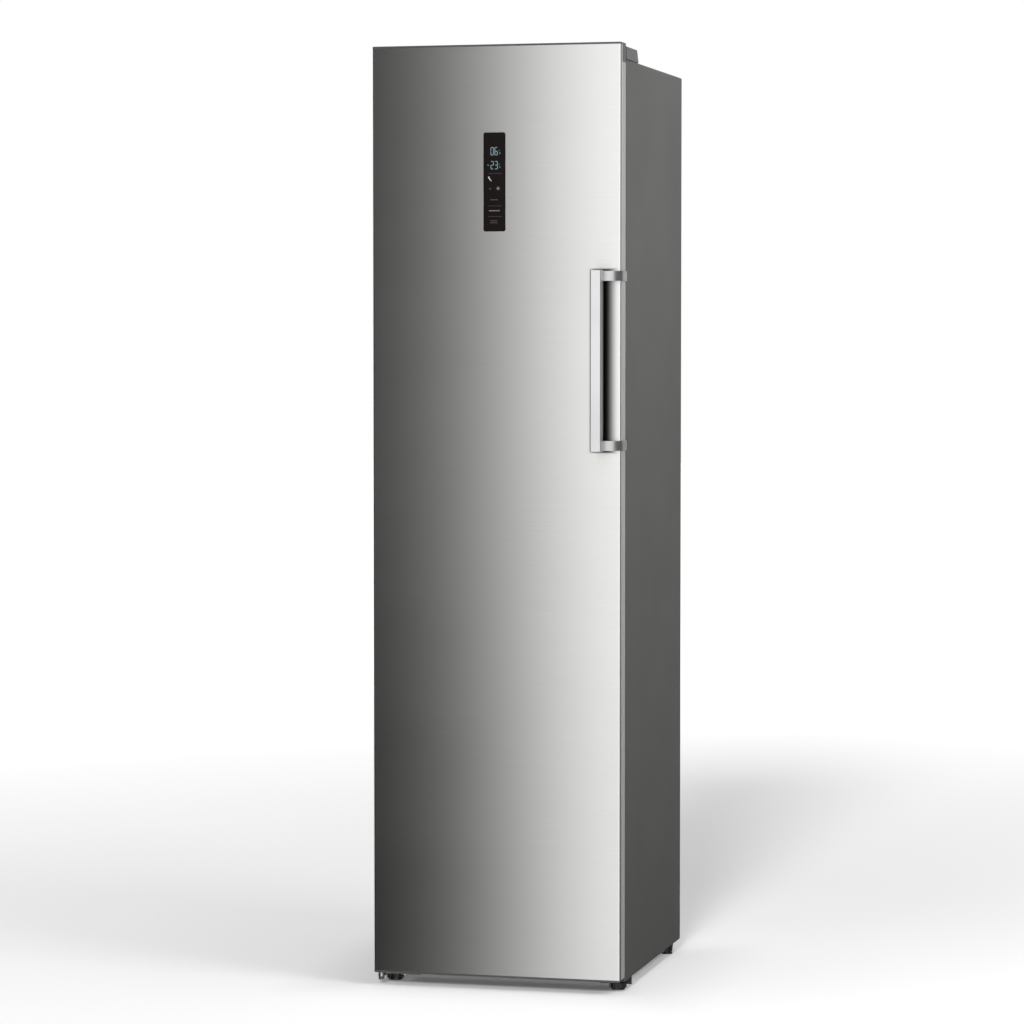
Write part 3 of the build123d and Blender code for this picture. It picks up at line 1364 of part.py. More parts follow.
# Handle screws: countersunk, through the brackets and the side trim into the door
with BuildPart() as handle_screws:
    for low in bracket_lows:
        for screw_y in handle_screw_y:
            middle = low + bracket_height / 2
            head = csk_radius - 2 * screw_sink - screw_radius
            outer = plate_outer - screw_sink
            with Locations(Location((outer - csk_reach / 2, screw_y, middle), (0, 90, 0))):
                Cylinder(screw_radius, csk_reach)
            with Locations(Location((outer - head / 2, screw_y, middle), (0, 90, 0))):
                Cone(screw_radius, screw_radius + head, head)
for carrier in (door_side_trims, door_insulation):
    with carrier:
        for low in bracket_lows:
            for screw_y in handle_screw_y:
                with Locations(Location((half - csk_reach / 2, screw_y, low + bracket_height / 2),
                                        (0, 90, 0))):
                    Cylinder(screw_radius + screw_clearance, csk_reach + 2, mode=Mode.SUBTRACT)

outer_shell.part.label = "outer_shell"
export_step(outer_shell.part, "parts/outer_shell.step")
back_panel.part.label = "back_panel"
export_step(back_panel.part, "parts/back_panel.step")
machine_panel.part.label = "machine_panel"
export_step(machine_panel.part, "parts/machine_panel.step")
condenser_coils.part.label = "condenser_coils"
export_step(condenser_coils.part, "parts/condenser_coils.step")
cabinet_insulation.part.label = "cabinet_insulation"
export_step(cabinet_insulation.part, "parts/cabinet_insulation.step")
inner_liner.part.label = "inner_liner"
export_step(inner_liner.part, "parts/inner_liner.step")
glass_shelves.part.label = "glass_shelves"
export_step(glass_shelves.part, "parts/glass_shelves.step")
evaporator.part.label = "evaporator"
export_step(evaporator.part, "parts/evaporator.step")
defrost_heater.part.label = "defrost_heater"
export_step(defrost_heater.part, "parts/defrost_heater.step")
fan_motor.part.label = "fan_motor"
export_step(fan_motor.part, "parts/fan_motor.step")
fan_wheel.part.label = "fan_wheel"
export_step(fan_wheel.part, "parts/fan_wheel.step")
evaporator_cover.part.label = "evaporator_cover"
export_step(evaporator_cover.part, "parts/evaporator_cover.step")
drain_tube.part.label = "drain_tube"
export_step(drain_tube.part, "parts/drain_tube.step")
base_plate.part.label = "base_plate"
export_step(base_plate.part, "parts/base_plate.step")
compressor.part.label = "compressor"
export_step(compressor.part, "parts/compressor.step")
compressor_grommets.part.label = "compressor_grommets"
export_step(compressor_grommets.part, "parts/compressor_grommets.step")
compressor_bolts.part.label = "compressor_bolts"
export_step(compressor_bolts.part, "parts/compressor_bolts.step")
terminal_cover.part.label = "terminal_cover"
export_step(terminal_cover.part, "parts/terminal_cover.step")
refrigerant_pipes.part.label = "refrigerant_pipes"
export_step(refrigerant_pipes.part, "parts/refrigerant_pipes.step")
filter_dryer.part.label = "filter_dryer"
export_step(filter_dryer.part, "parts/filter_dryer.step")
drip_tray.part.label = "drip_tray"
export_step(drip_tray.part, "parts/drip_tray.step")
machine_cover.part.label = "machine_cover"
export_step(machine_cover.part, "parts/machine_cover.step")
mains_gland.part.label = "mains_gland"
export_step(mains_gland.part, "parts/mains_gland.step")
front_rail.part.label = "front_rail"
export_step(front_rail.part, "parts/front_rail.step")
rear_brackets.part.label = "rear_brackets"
export_step(rear_brackets.part, "parts/rear_brackets.step")
lower_hinge.part.label = "lower_hinge"
export_step(lower_hinge.part, "parts/lower_hinge.step")
upper_hinge.part.label = "upper_hinge"
export_step(upper_hinge.part, "parts/upper_hinge.step")
hinge_screws.part.label = "hinge_screws"
export_step(hinge_screws.part, "parts/hinge_screws.step")
top_cover.part.label = "top_cover"
export_step(top_cover.part, "parts/top_cover.step")
control_board.part.label = "control_board"
export_step(control_board.part, "parts/control_board.step")
door_sensor.part.label = "door_sensor"
export_step(door_sensor.part, "parts/door_sensor.step")
lamp_board.part.label = "lamp_board"
export_step(lamp_board.part, "parts/lamp_board.step")
lamp_lens.part.label = "lamp_lens"
export_step(lamp_lens.part, "parts/lamp_lens.step")
door_skin.part.label = "door_skin"
export_step(door_skin.part, "parts/door_skin.step")
door_side_trims.part.label = "door_side_trims"
export_step(door_side_trims.part, "parts/door_side_trims.step")
door_top_cap.part.label = "door_top_cap"
export_step(door_top_cap.part, "parts/door_top_cap.step")
sensor_magnet.part.label = "sensor_magnet"
export_step(sensor_magnet.part, "parts/sensor_magnet.step")
door_bottom_cap.part.label = "door_bottom_cap"
export_step(door_bottom_cap.part, "parts/door_bottom_cap.step")
hinge_bushes.part.label = "hinge_bushes"
export_step(hinge_bushes.part, "parts/hinge_bushes.step")
door_liner.part.label = "door_liner"
export_step(door_liner.part, "parts/door_liner.step")
door_insulation.part.label = "door_insulation"
export_step(door_insulation.part, "parts/door_insulation.step")
door_gasket.part.label = "door_gasket"
export_step(door_gasket.part, "parts/door_gasket.step")
display_glass.part.label = "display_glass"
export_step(display_glass.part, "parts/display_glass.step")
display_housing.part.label = "display_housing"
export_step(display_housing.part, "parts/display_housing.step")
display_board.part.label = "display_board"
export_step(display_board.part, "parts/display_board.step")
handle_bar.part.label = "handle_bar"
export_step(handle_bar.part, "parts/handle_bar.step")
bracket_lower.label = "handle_bracket_lower"
export_step(bracket_lower, "parts/handle_bracket_lower.step")
bracket_upper.label = "handle_bracket_upper"
export_step(bracket_upper, "parts/handle_bracket_upper.step")
handle_screws.part.label = "handle_screws"
export_step(handle_screws.part, "parts/handle_screws.step")
for name, foot in feet.items():
    foot.label = name
    export_step(foot, f"parts/{name}.step")
for name, drawer in drawers.items():
    drawer.label = name
    export_step(drawer, f"parts/{name}.step")
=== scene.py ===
# %% [markdown]
# # Upright freezer
# A tall freezer with one brushed steel door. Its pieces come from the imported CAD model, already
# at their real place and size in metres, so this file gives them their finishes, adds the symbols
# of the display, and sets the floor, the lights and the camera.

import bpy
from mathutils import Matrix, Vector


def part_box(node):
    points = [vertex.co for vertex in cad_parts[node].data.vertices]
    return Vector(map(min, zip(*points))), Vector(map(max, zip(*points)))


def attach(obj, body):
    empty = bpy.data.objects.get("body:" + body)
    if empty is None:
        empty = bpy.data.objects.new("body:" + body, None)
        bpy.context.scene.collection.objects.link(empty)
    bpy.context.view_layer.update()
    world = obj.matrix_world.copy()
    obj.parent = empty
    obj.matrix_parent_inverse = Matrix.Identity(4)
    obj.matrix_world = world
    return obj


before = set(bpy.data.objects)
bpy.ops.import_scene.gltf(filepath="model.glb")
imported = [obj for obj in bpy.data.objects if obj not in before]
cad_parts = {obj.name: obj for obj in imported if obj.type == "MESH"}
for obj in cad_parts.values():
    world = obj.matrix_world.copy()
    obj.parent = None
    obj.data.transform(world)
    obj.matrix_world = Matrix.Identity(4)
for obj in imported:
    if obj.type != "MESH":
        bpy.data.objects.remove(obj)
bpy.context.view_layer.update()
print("pieces from the CAD model:", len(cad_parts))

import bpy
import math
from mathutils import Vector

# %% [markdown]
# The photograph was taken from the right of the door, a little above its middle, with a long
# lens. The camera stands where the edges of the cabinet fit the photograph best, so nothing is
# shifted and nothing is out of focus.

# %% Camera
SENSOR = 36.0
IMAGE_SIDE = 1024
FOCAL_PIXELS = 3634.76
CAMERA_PLACE = Vector((1.7877, -7.1221, 1.2746))
CAMERA_TURN = math.radians(-14.353)
CAMERA_TILT = math.radians(2.694)
CAMERA_SIGHT = 100


def place_new(name, data):
    """Puts new data into the scene as an object of the same name."""
    item = bpy.data.objects.new(name, data)
    bpy.context.scene.collection.objects.link(item)
    return item


def aim(item, direction):
    """Turns a camera or a lamp so that it looks along a direction."""
    item.rotation_euler = direction.to_track_quat("-Z", "Y").to_euler()


camera_data = bpy.data.cameras.new("photo_camera")
camera_data.sensor_width = SENSOR
camera_data.lens = FOCAL_PIXELS / IMAGE_SIDE * SENSOR
camera_data.clip_end = CAMERA_SIGHT
camera = place_new("photo_camera", camera_data)
camera.location = CAMERA_PLACE
aim(camera, Vector((math.sin(CAMERA_TURN) * math.cos(CAMERA_TILT),
                    math.cos(CAMERA_TURN) * math.cos(CAMERA_TILT), -math.sin(CAMERA_TILT))))
bpy.context.scene.camera = camera
bpy.context.scene.view_settings.view_transform = "Standard"
print("lens", round(camera_data.lens, 1), "mm")

# %% [markdown]
# Materials are trees of nodes. These helpers each add one kind of node. Their values are plain
# numbers and colours, or the socket of another node that the value comes from.

# %% Node helpers
def new_material(name):
    """A new material, with its node tree and its shader."""
    material = bpy.data.materials.new(name)
    material.use_nodes = True
    return material, material.node_tree, material.node_tree.nodes["Principled BSDF"]


def feed(tree, socket, value):
    """Gives a socket its value, or links it to the socket that the value comes from."""
    if isinstance(value, bpy.types.NodeSocket):
        tree.links.new(value, socket)
    else:
        socket.default_value = value


def calculate(tree, operation, first, second):
    """A sum on two numbers."""
    node = tree.nodes.new("ShaderNodeMath")
    node.operation = operation
    feed(tree, node.inputs[0], first)
    feed(tree, node.inputs[1], second)
    return node.outputs[0]


def calculate_vector(tree, operation, first, second=(0, 0, 0), result="Vector"):
    """A sum on two vectors."""
    node = tree.nodes.new("ShaderNodeVectorMath")
    node.operation = operation
    feed(tree, node.inputs[0], first)
    feed(tree, node.inputs[1], second)
    return node.outputs[result]


def map_range(tree, value, low, high, to_low=0.0, to_high=1.0, curve="LINEAR"):
    """Carries a value from one range to another, and holds it at the ends."""
    node = tree.nodes.new("ShaderNodeMapRange")
    node.interpolation_type = curve
    feed(tree, node.inputs["Value"], value)
    for socket, number in (("From Min", low), ("From Max", high), ("To Min", to_low),
                           ("To Max", to_high)):
        feed(tree, node.inputs[socket], number)
    return node.outputs["Result"]


def mix_colours(tree, factor, first, second):
    """The first colour where the factor is 0, and the second where it is 1."""
    node = tree.nodes.new("ShaderNodeMix")
    node.data_type = "RGBA"
    feed(tree, node.inputs["Factor"], factor)
    feed(tree, node.inputs["A"], first)
    feed(tree, node.inputs["B"], second)
    return node.outputs["Result"]


def coordinates(tree, kind="Object"):
    """The piece's own coordinates, or with Normal the direction that a face points in."""
    return tree.nodes.new("ShaderNodeTexCoord").outputs[kind]


def split(tree, vector):
    """The X, Y and Z of a vector."""
    node = tree.nodes.new("ShaderNodeSeparateXYZ")
    feed(tree, node.inputs["Vector"], vector)
    return node.outputs


# %% [markdown]
# A real surface is never one flat colour. Two small node groups carry what most finishes share:
# one changes a value slowly from place to place, as handling and dust do, and one is a fine
# relief, as brushing, paint and moulds leave. Each takes its own scale along X, Y and Z, so the
# same relief can be long brush lines or even grain.

# %% Shared node groups
DRIFT_DETAIL, RELIEF_DETAIL = 3.0, 2.0
DRIFT_LOW, DRIFT_HIGH = 0.3, 0.7


def new_group(name, inputs, output):
    """A shader group with its sockets: inputs are (name, kind, value), the output (name, kind)."""
    group = bpy.data.node_groups.new(name, "ShaderNodeTree")
    for socket, kind, value in inputs:
        made = group.interface.new_socket(socket, in_out="INPUT", socket_type=kind)
        made.default_value = value
    group.interface.new_socket(output[0], in_out="OUTPUT", socket_type=output[1])
    return group, group.nodes.new("NodeGroupInput").outputs, group.nodes.new("NodeGroupOutput").inputs


def stretched_noise(group, scale, detail):
    """Noise on the piece's own coordinates, stretched by a scale for each axis."""
    noise = group.nodes.new("ShaderNodeTexNoise")
    noise.inputs["Scale"].default_value = 1.0
    noise.inputs["Detail"].default_value = detail
    feed(group, noise.inputs["Vector"],
         calculate_vector(group, "MULTIPLY", coordinates(group), scale))
    return noise.outputs["Fac"]


def use_group(tree, group, **values):
    """Adds a shared group to a material, with values for its sockets."""
    node = tree.nodes.new("ShaderNodeGroup")
    node.node_tree = group
    for socket, value in values.items():
        feed(tree, node.inputs[socket], value)
    return node.outputs[0]


drift, entry, leave = new_group(
    "slow_drift",
    [("Scale", "NodeSocketVector", (1, 1, 1)), ("Low", "NodeSocketFloat", 0.0),
     ("High", "NodeSocketFloat", 1.0)],
    ("Value", "NodeSocketFloat"))
noise = stretched_noise(drift, entry["Scale"], DRIFT_DETAIL)
feed(drift, leave["Value"],
     map_range(drift, noise, DRIFT_LOW, DRIFT_HIGH, entry["Low"], entry["High"]))

relief, entry, leave = new_group(
    "fine_relief",
    [("Scale", "NodeSocketVector", (1, 1, 1)), ("Depth", "NodeSocketFloat", 0.0001),
     ("Strength", "NodeSocketFloat", 1.0)],
    ("Normal", "NodeSocketVector"))
bump = relief.nodes.new("ShaderNodeBump")
feed(relief, bump.inputs["Height"], stretched_noise(relief, entry["Scale"], RELIEF_DETAIL))
feed(relief, bump.inputs["Distance"], entry["Depth"])
feed(relief, bump.inputs["Strength"], entry["Strength"])
feed(relief, leave["Normal"], bump.outputs["Normal"])
print("node groups:", [group.name for group in bpy.data.node_groups])

# %% [markdown]
# Every finish starts the same way: a Principled shader whose colour drifts between two close
# tints, whose roughness drifts between two values, and whose normal carries the fine relief.
# What is the same all over the surface is set straight on the shader's own sockets.

# %% Finish maker
def finish(name, dark, light, rough, relief_scale=(900, 900, 900), depth=0.00002, strength=0.3,
           drift_scale=(3, 3, 3), tint_scale=(9, 9, 9), fixed=None):
    """A material: colour from dark to light, roughness (low, high), relief, and fixed sockets."""
    material, tree, shader = new_material(name)
    for socket, value in (fixed or {}).items():
        shader.inputs[socket].default_value = value
    tint = use_group(tree, drift, Scale=tint_scale)
    feed(tree, shader.inputs["Base Color"], mix_colours(tree, tint, (*dark, 1), (*light, 1)))
    feed(tree, shader.inputs["Roughness"],
         use_group(tree, drift, Scale=drift_scale, Low=rough[0], High=rough[1]))
    feed(tree, shader.inputs["Normal"],
         use_group(tree, relief, Scale=relief_scale, Depth=depth, Strength=strength))
    return material


dressed = set()


def dress(material, *names):
    """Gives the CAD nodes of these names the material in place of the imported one."""
    for name in names:
        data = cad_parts[name].data
        data.materials.clear()
        data.materials.append(material)
        dressed.add(name)
    print(material.name, "on:", ", ".join(names))


# %% [markdown]
# The door's sheet is stainless steel brushed from side to side. The brush leaves long fine
# grooves, which smear reflections up and down: the shader's anisotropy does that, with its
# tangent turned to the upright, and the stretched relief breaks it into single lines.

# %% Brushed steel
steel = finish("brushed_steel_sheet", (0.68, 0.68, 0.665), (0.71, 0.71, 0.695), (0.345, 0.365),
               relief_scale=(14, 40, 2600), depth=0.00001, strength=0.06,
               tint_scale=(6, 30, 900), drift_scale=(2, 2, 6),
               fixed={"Metallic": 1.0, "Anisotropic": 0.67, "Anisotropic Rotation": 0.25})
steel_sockets = steel.node_tree.nodes["Principled BSDF"].inputs
tangent = steel.node_tree.nodes.new("ShaderNodeTangent")
tangent.direction_type = "RADIAL"
tangent.axis = "Z"
feed(steel.node_tree, steel_sockets["Tangent"], tangent.outputs["Tangent"])
dress(steel, "door_skin")

# %% [markdown]
# Little light reaches the steel close behind the handle. A mirror would show only the bar's dark
# back there, but brushed metal scatters, so the shade has a soft edge. The colour carries it: it
# darkens behind the bar and comes back over two or three centimetres, the same from every side.

# %% Shade behind the handle
SHADE_LEFT, SHADE_RIGHT, SHADE_ENDS = 0.024, 0.028, 0.005
SHADE_INSET, SHADE_CURVE = 0.001, 1.5
SHADE_COLOUR = (0.03, 0.03, 0.028, 1)

bar_low, bar_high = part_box("handle_bar")
shade_right = bar_high.x - SHADE_INSET
shade_left = bar_high.x - SHADE_LEFT / 2
tree = steel.node_tree
where = split(tree, coordinates(tree))
outside = 0.0
for axis, start, end in (("X", shade_right, shade_right + SHADE_RIGHT),
                         ("X", shade_left, shade_left - SHADE_LEFT),
                         ("Z", bar_high.z, bar_high.z + SHADE_ENDS),
                         ("Z", bar_low.z, bar_low.z - SHADE_ENDS)):
    step = map_range(tree, where[axis], start, end, curve="SMOOTHSTEP")
    outside = calculate(tree, "MAXIMUM", outside, step)
outside = calculate(tree, "POWER", outside, SHADE_CURVE)
sheet_colour = steel_sockets["Base Color"].links[0].from_socket
feed(tree, steel_sockets["Base Color"], mix_colours(tree, outside, SHADE_COLOUR, sheet_colour))
print("shade right of the bar:", round(shade_right + SHADE_RIGHT - bar_high.x, 3), "m")

# %% [markdown]
# The handle is satin metal as well: the bar is an anodised extrusion with lines along its length,
# and its two brackets are satin chrome castings, so they have no lines at all. The faces of the
# bar's back, found by the direction they point in, get a painted shade: black and not metallic,
# as the back in shadow, and the steel mirrors it.

# %% Handle metals
# Painted shade on the bar's back: black where the faces point to the back.
BACK_SHADE_COLOUR = (0.008, 0.008, 0.008, 1)
BACK_SHADE_FACING = 0.5

bar_metal = finish("anodised_bar", (0.64, 0.64, 0.65), (0.69, 0.69, 0.70), (0.30, 0.38),
                   relief_scale=(2200, 2200, 20), depth=0.00002, strength=0.2)
tree = bar_metal.node_tree
bar_sockets = tree.nodes["Principled BSDF"].inputs
at_back = calculate(tree, "GREATER_THAN", split(tree, coordinates(tree, "Normal"))["Y"],
                    BACK_SHADE_FACING)
metal_colour = bar_sockets["Base Color"].links[0].from_socket
feed(tree, bar_sockets["Base Color"], mix_colours(tree, at_back, metal_colour, BACK_SHADE_COLOUR))
feed(tree, bar_sockets["Metallic"], calculate(tree, "SUBTRACT", 1.0, at_back))

bracket_metal = finish("satin_chrome", (0.45, 0.45, 0.452), (0.49, 0.49, 0.493), (0.32, 0.38),
                       relief_scale=(1500, 1500, 1500), depth=0.00001, strength=0.15,
                       fixed={"Metallic": 1.0})
screw_metal = finish("zinc_plate", (0.50, 0.50, 0.51), (0.62, 0.62, 0.63), (0.30, 0.45),
                     fixed={"Metallic": 1.0})
dress(bar_metal, "handle_bar")
dress(bracket_metal, "handle_bracket_lower", "handle_bracket_upper")
dress(screw_metal, "handle_screws", "hinge_screws", "compressor_bolts", "upper_hinge",
      "lower_hinge")

# %% [markdown]
# The cabinet is painted dark silver, the trims down the door's sides a lighter silver. Powder
# paint has a soft skin, called orange peel, so the relief is wide and very shallow. Rails are
# painted black, and what faces the wall or the compressor is plain zinc sheet.

# %% Painted and zinc pieces
cabinet_paint = finish("cabinet_paint", (0.082, 0.082, 0.079), (0.088, 0.088, 0.085),
                       (0.50, 0.56), relief_scale=(420, 420, 420), depth=0.00004, strength=0.22,
                       fixed={"Specular IOR Level": 0.3})
trim_paint = finish("trim_paint", (0.325, 0.325, 0.32), (0.345, 0.345, 0.34), (0.42, 0.5),
                    relief_scale=(420, 420, 420), depth=0.00003, strength=0.2,
                    fixed={"Specular IOR Level": 0.3})
rail_paint = finish("rail_paint", (0.030, 0.030, 0.031), (0.042, 0.042, 0.043), (0.45, 0.55))
zinc_sheet = finish("zinc_sheet", (0.30, 0.31, 0.32), (0.46, 0.47, 0.48), (0.35, 0.5),
                    tint_scale=(60, 60, 60), fixed={"Metallic": 0.8})
dress(cabinet_paint, "outer_shell")
dress(trim_paint, "door_side_trims")
dress(rail_paint, "front_rail", "rear_brackets")
dress(zinc_sheet, "back_panel", "machine_panel", "base_plate", "machine_cover")

# %% [markdown]
# Moulded plastics differ by colour and by the grain of the mould: matt and grey on the caps and
# the top cover, black on the feet and the compressor's parts, glossy white inside. Rubber is
# rougher than any of them, and foam is the roughest.

# %% Moulded pieces
cap_plastic = finish("cap_plastic", (0.060, 0.060, 0.061), (0.072, 0.072, 0.073), (0.42, 0.5),
                     relief_scale=(1500, 1500, 1500), depth=0.00004, strength=0.3)
cover_plastic = finish("cover_plastic", (0.100, 0.100, 0.098), (0.112, 0.112, 0.110),
                       (0.48, 0.56), relief_scale=(1500, 1500, 1500), depth=0.00004,
                       strength=0.35)
foot_plastic = finish("foot_plastic", (0.012, 0.012, 0.013), (0.022, 0.022, 0.023),
                      (0.25, 0.38))
dark_plastic = finish("dark_plastic", (0.022, 0.022, 0.023), (0.034, 0.034, 0.035), (0.42, 0.55))
white_liner = finish("white_liner", (0.78, 0.79, 0.80), (0.82, 0.83, 0.84), (0.28, 0.36),
                     relief_scale=(260, 260, 260), depth=0.00005, strength=0.15)
white_moulded = finish("white_moulded", (0.72, 0.73, 0.73), (0.78, 0.79, 0.79), (0.36, 0.45))
gasket_rubber = finish("gasket_rubber", (0.28, 0.29, 0.30), (0.34, 0.35, 0.36), (0.6, 0.72))
black_rubber = finish("black_rubber", (0.016, 0.016, 0.016), (0.03, 0.03, 0.03), (0.65, 0.8))
foam = finish("wall_foam", (0.70, 0.60, 0.36), (0.82, 0.74, 0.50), (0.8, 0.95),
              relief_scale=(700, 700, 700), depth=0.0003, strength=0.6)
dress(cap_plastic, "door_top_cap", "door_bottom_cap")
dress(cover_plastic, "top_cover")
dress(foot_plastic, "front_foot_left", "front_foot_right", "rear_foot_left", "rear_foot_right")
dress(dark_plastic, "terminal_cover", "drip_tray", "mains_gland", "fan_motor",
      "display_housing", "sensor_magnet")
dress(white_liner, "inner_liner", "door_liner", "evaporator_cover")
dress(white_moulded, "fan_wheel", "drain_tube", "hinge_bushes", "door_sensor", "lamp_board")
dress(gasket_rubber, "door_gasket")
dress(black_rubber, "compressor_grommets")
dress(foam, "cabinet_insulation", "door_insulation")

# %% [markdown]
# Glass and clear plastic let light through. The drawers are moulded, so their clear plastic is
# a little blue and uneven; the shelves are glass with a green body; the lamp's lens is frosted.
# The display is the one dark glass, and it lets no light through.

# %% Clear pieces and the display's glass
shelf_glass = finish("shelf_glass", (0.80, 0.93, 0.90), (0.84, 0.95, 0.92), (0.02, 0.05),
                     strength=0.02, fixed={"Transmission Weight": 1.0, "IOR": 1.5})
drawer_plastic = finish("drawer_plastic", (0.84, 0.91, 0.95), (0.88, 0.94, 0.97), (0.08, 0.16),
                        relief_scale=(200, 200, 200), depth=0.00006, strength=0.2,
                        fixed={"Transmission Weight": 0.92, "IOR": 1.46})
lens_plastic = finish("lens_plastic", (0.88, 0.92, 0.94), (0.92, 0.95, 0.96), (0.35, 0.45),
                      fixed={"Transmission Weight": 0.85, "IOR": 1.46})
display_glass = finish("display_glass", (0.0065, 0.0048, 0.0045), (0.0080, 0.0060, 0.0056),
                       (0.10, 0.14), depth=0.000005, strength=0.05,
                       fixed={"IOR": 1.5, "Specular IOR Level": 0.12})
dress(shelf_glass, "glass_shelves")
dress(drawer_plastic, *[f"drawer_{number}" for number in range(1, 8)])
dress(lens_plastic, "lamp_lens")
dress(display_glass, "display_glass")

# %% [markdown]
# What is left is the machinery: bare aluminium fins, copper pipes, a painted compressor, a
# blued heater tube, green circuit boards and black condenser coils.

# %% Machinery
fin_aluminium = finish("fin_aluminium", (0.62, 0.63, 0.64), (0.74, 0.75, 0.76), (0.25, 0.4),
                       fixed={"Metallic": 1.0})
pipe_copper = finish("pipe_copper", (0.48, 0.22, 0.12), (0.66, 0.34, 0.20), (0.22, 0.4),
                     tint_scale=(40, 40, 40), fixed={"Metallic": 1.0})
compressor_paint = finish("compressor_paint", (0.010, 0.010, 0.011), (0.018, 0.018, 0.019),
                          (0.2, 0.3), relief_scale=(300, 300, 300), depth=0.00005)
heater_tube = finish("heater_tube", (0.20, 0.18, 0.17), (0.33, 0.29, 0.26), (0.35, 0.5),
                     tint_scale=(30, 30, 30), fixed={"Metallic": 1.0})
circuit_board = finish("circuit_board", (0.02, 0.10, 0.04), (0.03, 0.15, 0.06), (0.35, 0.5))
coil_paint = finish("coil_paint", (0.015, 0.015, 0.015), (0.03, 0.03, 0.03), (0.5, 0.6))
dress(fin_aluminium, "evaporator")
dress(pipe_copper, "refrigerant_pipes", "filter_dryer")
dress(compressor_paint, "compressor")
dress(heater_tube, "defrost_heater")
dress(circuit_board, "control_board", "display_board")
dress(coil_paint, "condenser_coils")
print("dressed:", len(dressed), "left as packed:", sorted(set(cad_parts) - dressed))

# %% [markdown]
# The display's light comes through the black glass as thin strokes. Each stroke is a flat plate
# whose front is a tenth of a millimetre before the glass, built from lines and rings in the
# glass's own plane, and everything of one colour is one piece.

# %% Display drawing tools
STROKE_FRONT, STROKE_BACK = 0.0001, 0.00002
MILLIMETRES = 1000

glass_low, glass_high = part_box("display_glass")
glass_middle = (glass_low + glass_high) / 2


class Strokes:
    """Collects flat strokes, in millimetres from the glass's middle, into one mesh."""

    def __init__(self):
        self.points, self.faces = [], []

    def ribbon(self, outline):
        """A thin plate with this closed outline of (across, up) points."""
        start, count = len(self.points), len(outline)
        for gap in (STROKE_FRONT, STROKE_BACK):
            for across, up in outline:
                self.points.append((glass_middle.x + across / MILLIMETRES, glass_low.y - gap,
                                    glass_middle.z + up / MILLIMETRES))
        self.faces.append(tuple(start + i for i in range(count)))
        self.faces.append(tuple(start + count + i for i in reversed(range(count))))
        for i in range(count):
            after = (i + 1) % count
            self.faces.append((start + i, start + count + i, start + count + after,
                               start + after))

    def line(self, begin, end, thick):
        """A straight stroke with pointed ends, like a display's segment."""
        a, b = Vector(begin), Vector(end)
        along = (b - a).normalized() * thick / 2
        side = Vector((-along.y, along.x))
        self.ribbon([tuple(p) for p in (a - along, a - side, b - side, b + along, b + side,
                                        a + side)])

    def bars(self, count, left, pitch, height, long, thick):
        """A row of short bars in place of a printed word."""
        for number in range(count):
            begin = left + number * pitch
            self.line((begin, height), (begin + long, height), thick)

    def ring(self, middle, radius, thick, steps, begin=0, end=360):
        """An arc of short plates round a point, between two angles in degrees."""
        turn = (end - begin) / steps
        for step in range(steps):
            corners = []
            for angle, reach in ((0, radius), (turn, radius), (turn, radius - thick),
                                 (0, radius - thick)):
                at = math.radians(begin + step * turn + angle)
                corners.append((middle[0] + reach * math.cos(at),
                                middle[1] + reach * math.sin(at)))
            self.ribbon(corners[::-1])

    def build(self, name, material):
        """Makes the piece and lets it ride on the door."""
        mesh = bpy.data.meshes.new(name)
        mesh.from_pydata(self.points, [], self.faces)
        mesh.materials.append(material)
        piece = place_new(name, mesh)
        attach(piece, "door")
        print(name, "faces:", len(self.faces))


# %% [markdown]
# Two numbers show the running and the set temperature. They are seven-segment digits, tall and
# narrow, on a shared grid, so that changing a digit is changing one letter of a string. A small
# ring and an open arc beside each stand for the degree sign and its unit.

# %% Numbers
GLOW_BODY, GLOW_ROUGHNESS = (0.02, 0.02, 0.02, 1), 0.4
GLOW_DIMMEST, GLOW_GRAIN = 0.85, (300, 300, 300)
SEGMENTS = {"a": ((0, 2), (1, 2)), "b": ((1, 2), (1, 1)), "c": ((1, 1), (1, 0)),
            "d": ((0, 0), (1, 0)), "e": ((0, 1), (0, 0)), "f": ((0, 2), (0, 1)),
            "g": ((0, 1), (1, 1))}
DIGITS = {"0": "abcdef", "6": "acdefg", "2": "abged", "3": "abgcd"}
DIGIT_WIDTH, DIGIT_HEIGHT, DIGIT_STROKE, DIGIT_GAP = 5.2, 14.6, 1.15, 2.7
DIGIT_TRIM = 0.62
NUMBERS = (("06", 52.2), ("23", 25.2))
NUMBERS_LEFT = -6.9
MINUS_LEFT, MINUS_RIGHT, MINUS_HEIGHT, MINUS_STROKE = -13.8, -11.4, 32.6, 1.1


def glow(name, colour, strength):
    """A material for lit strokes: a dark body with its own light."""
    material, tree, shader = new_material(name)
    shader.inputs["Base Color"].default_value = GLOW_BODY
    shader.inputs["Roughness"].default_value = GLOW_ROUGHNESS
    shader.inputs["Emission Strength"].default_value = strength
    dim = [GLOW_DIMMEST * part for part in colour]
    uneven = use_group(tree, drift, Scale=GLOW_GRAIN)
    feed(tree, shader.inputs["Emission Color"], mix_colours(tree, uneven, (*dim, 1), (*colour, 1)))
    return material


def write_number(strokes, text, left, low):
    """Adds the digits of a number, from their left and lower corner."""
    for place, digit in enumerate(text):
        x = left + place * (DIGIT_WIDTH + DIGIT_GAP)
        for segment in DIGITS[digit]:
            begin, end = [Vector((x + across * DIGIT_WIDTH, low + up * DIGIT_HEIGHT / 2))
                          for across, up in SEGMENTS[segment]]
            trim = (end - begin).normalized() * DIGIT_STROKE * DIGIT_TRIM
            strokes.line(begin + trim, end - trim, DIGIT_STROKE)


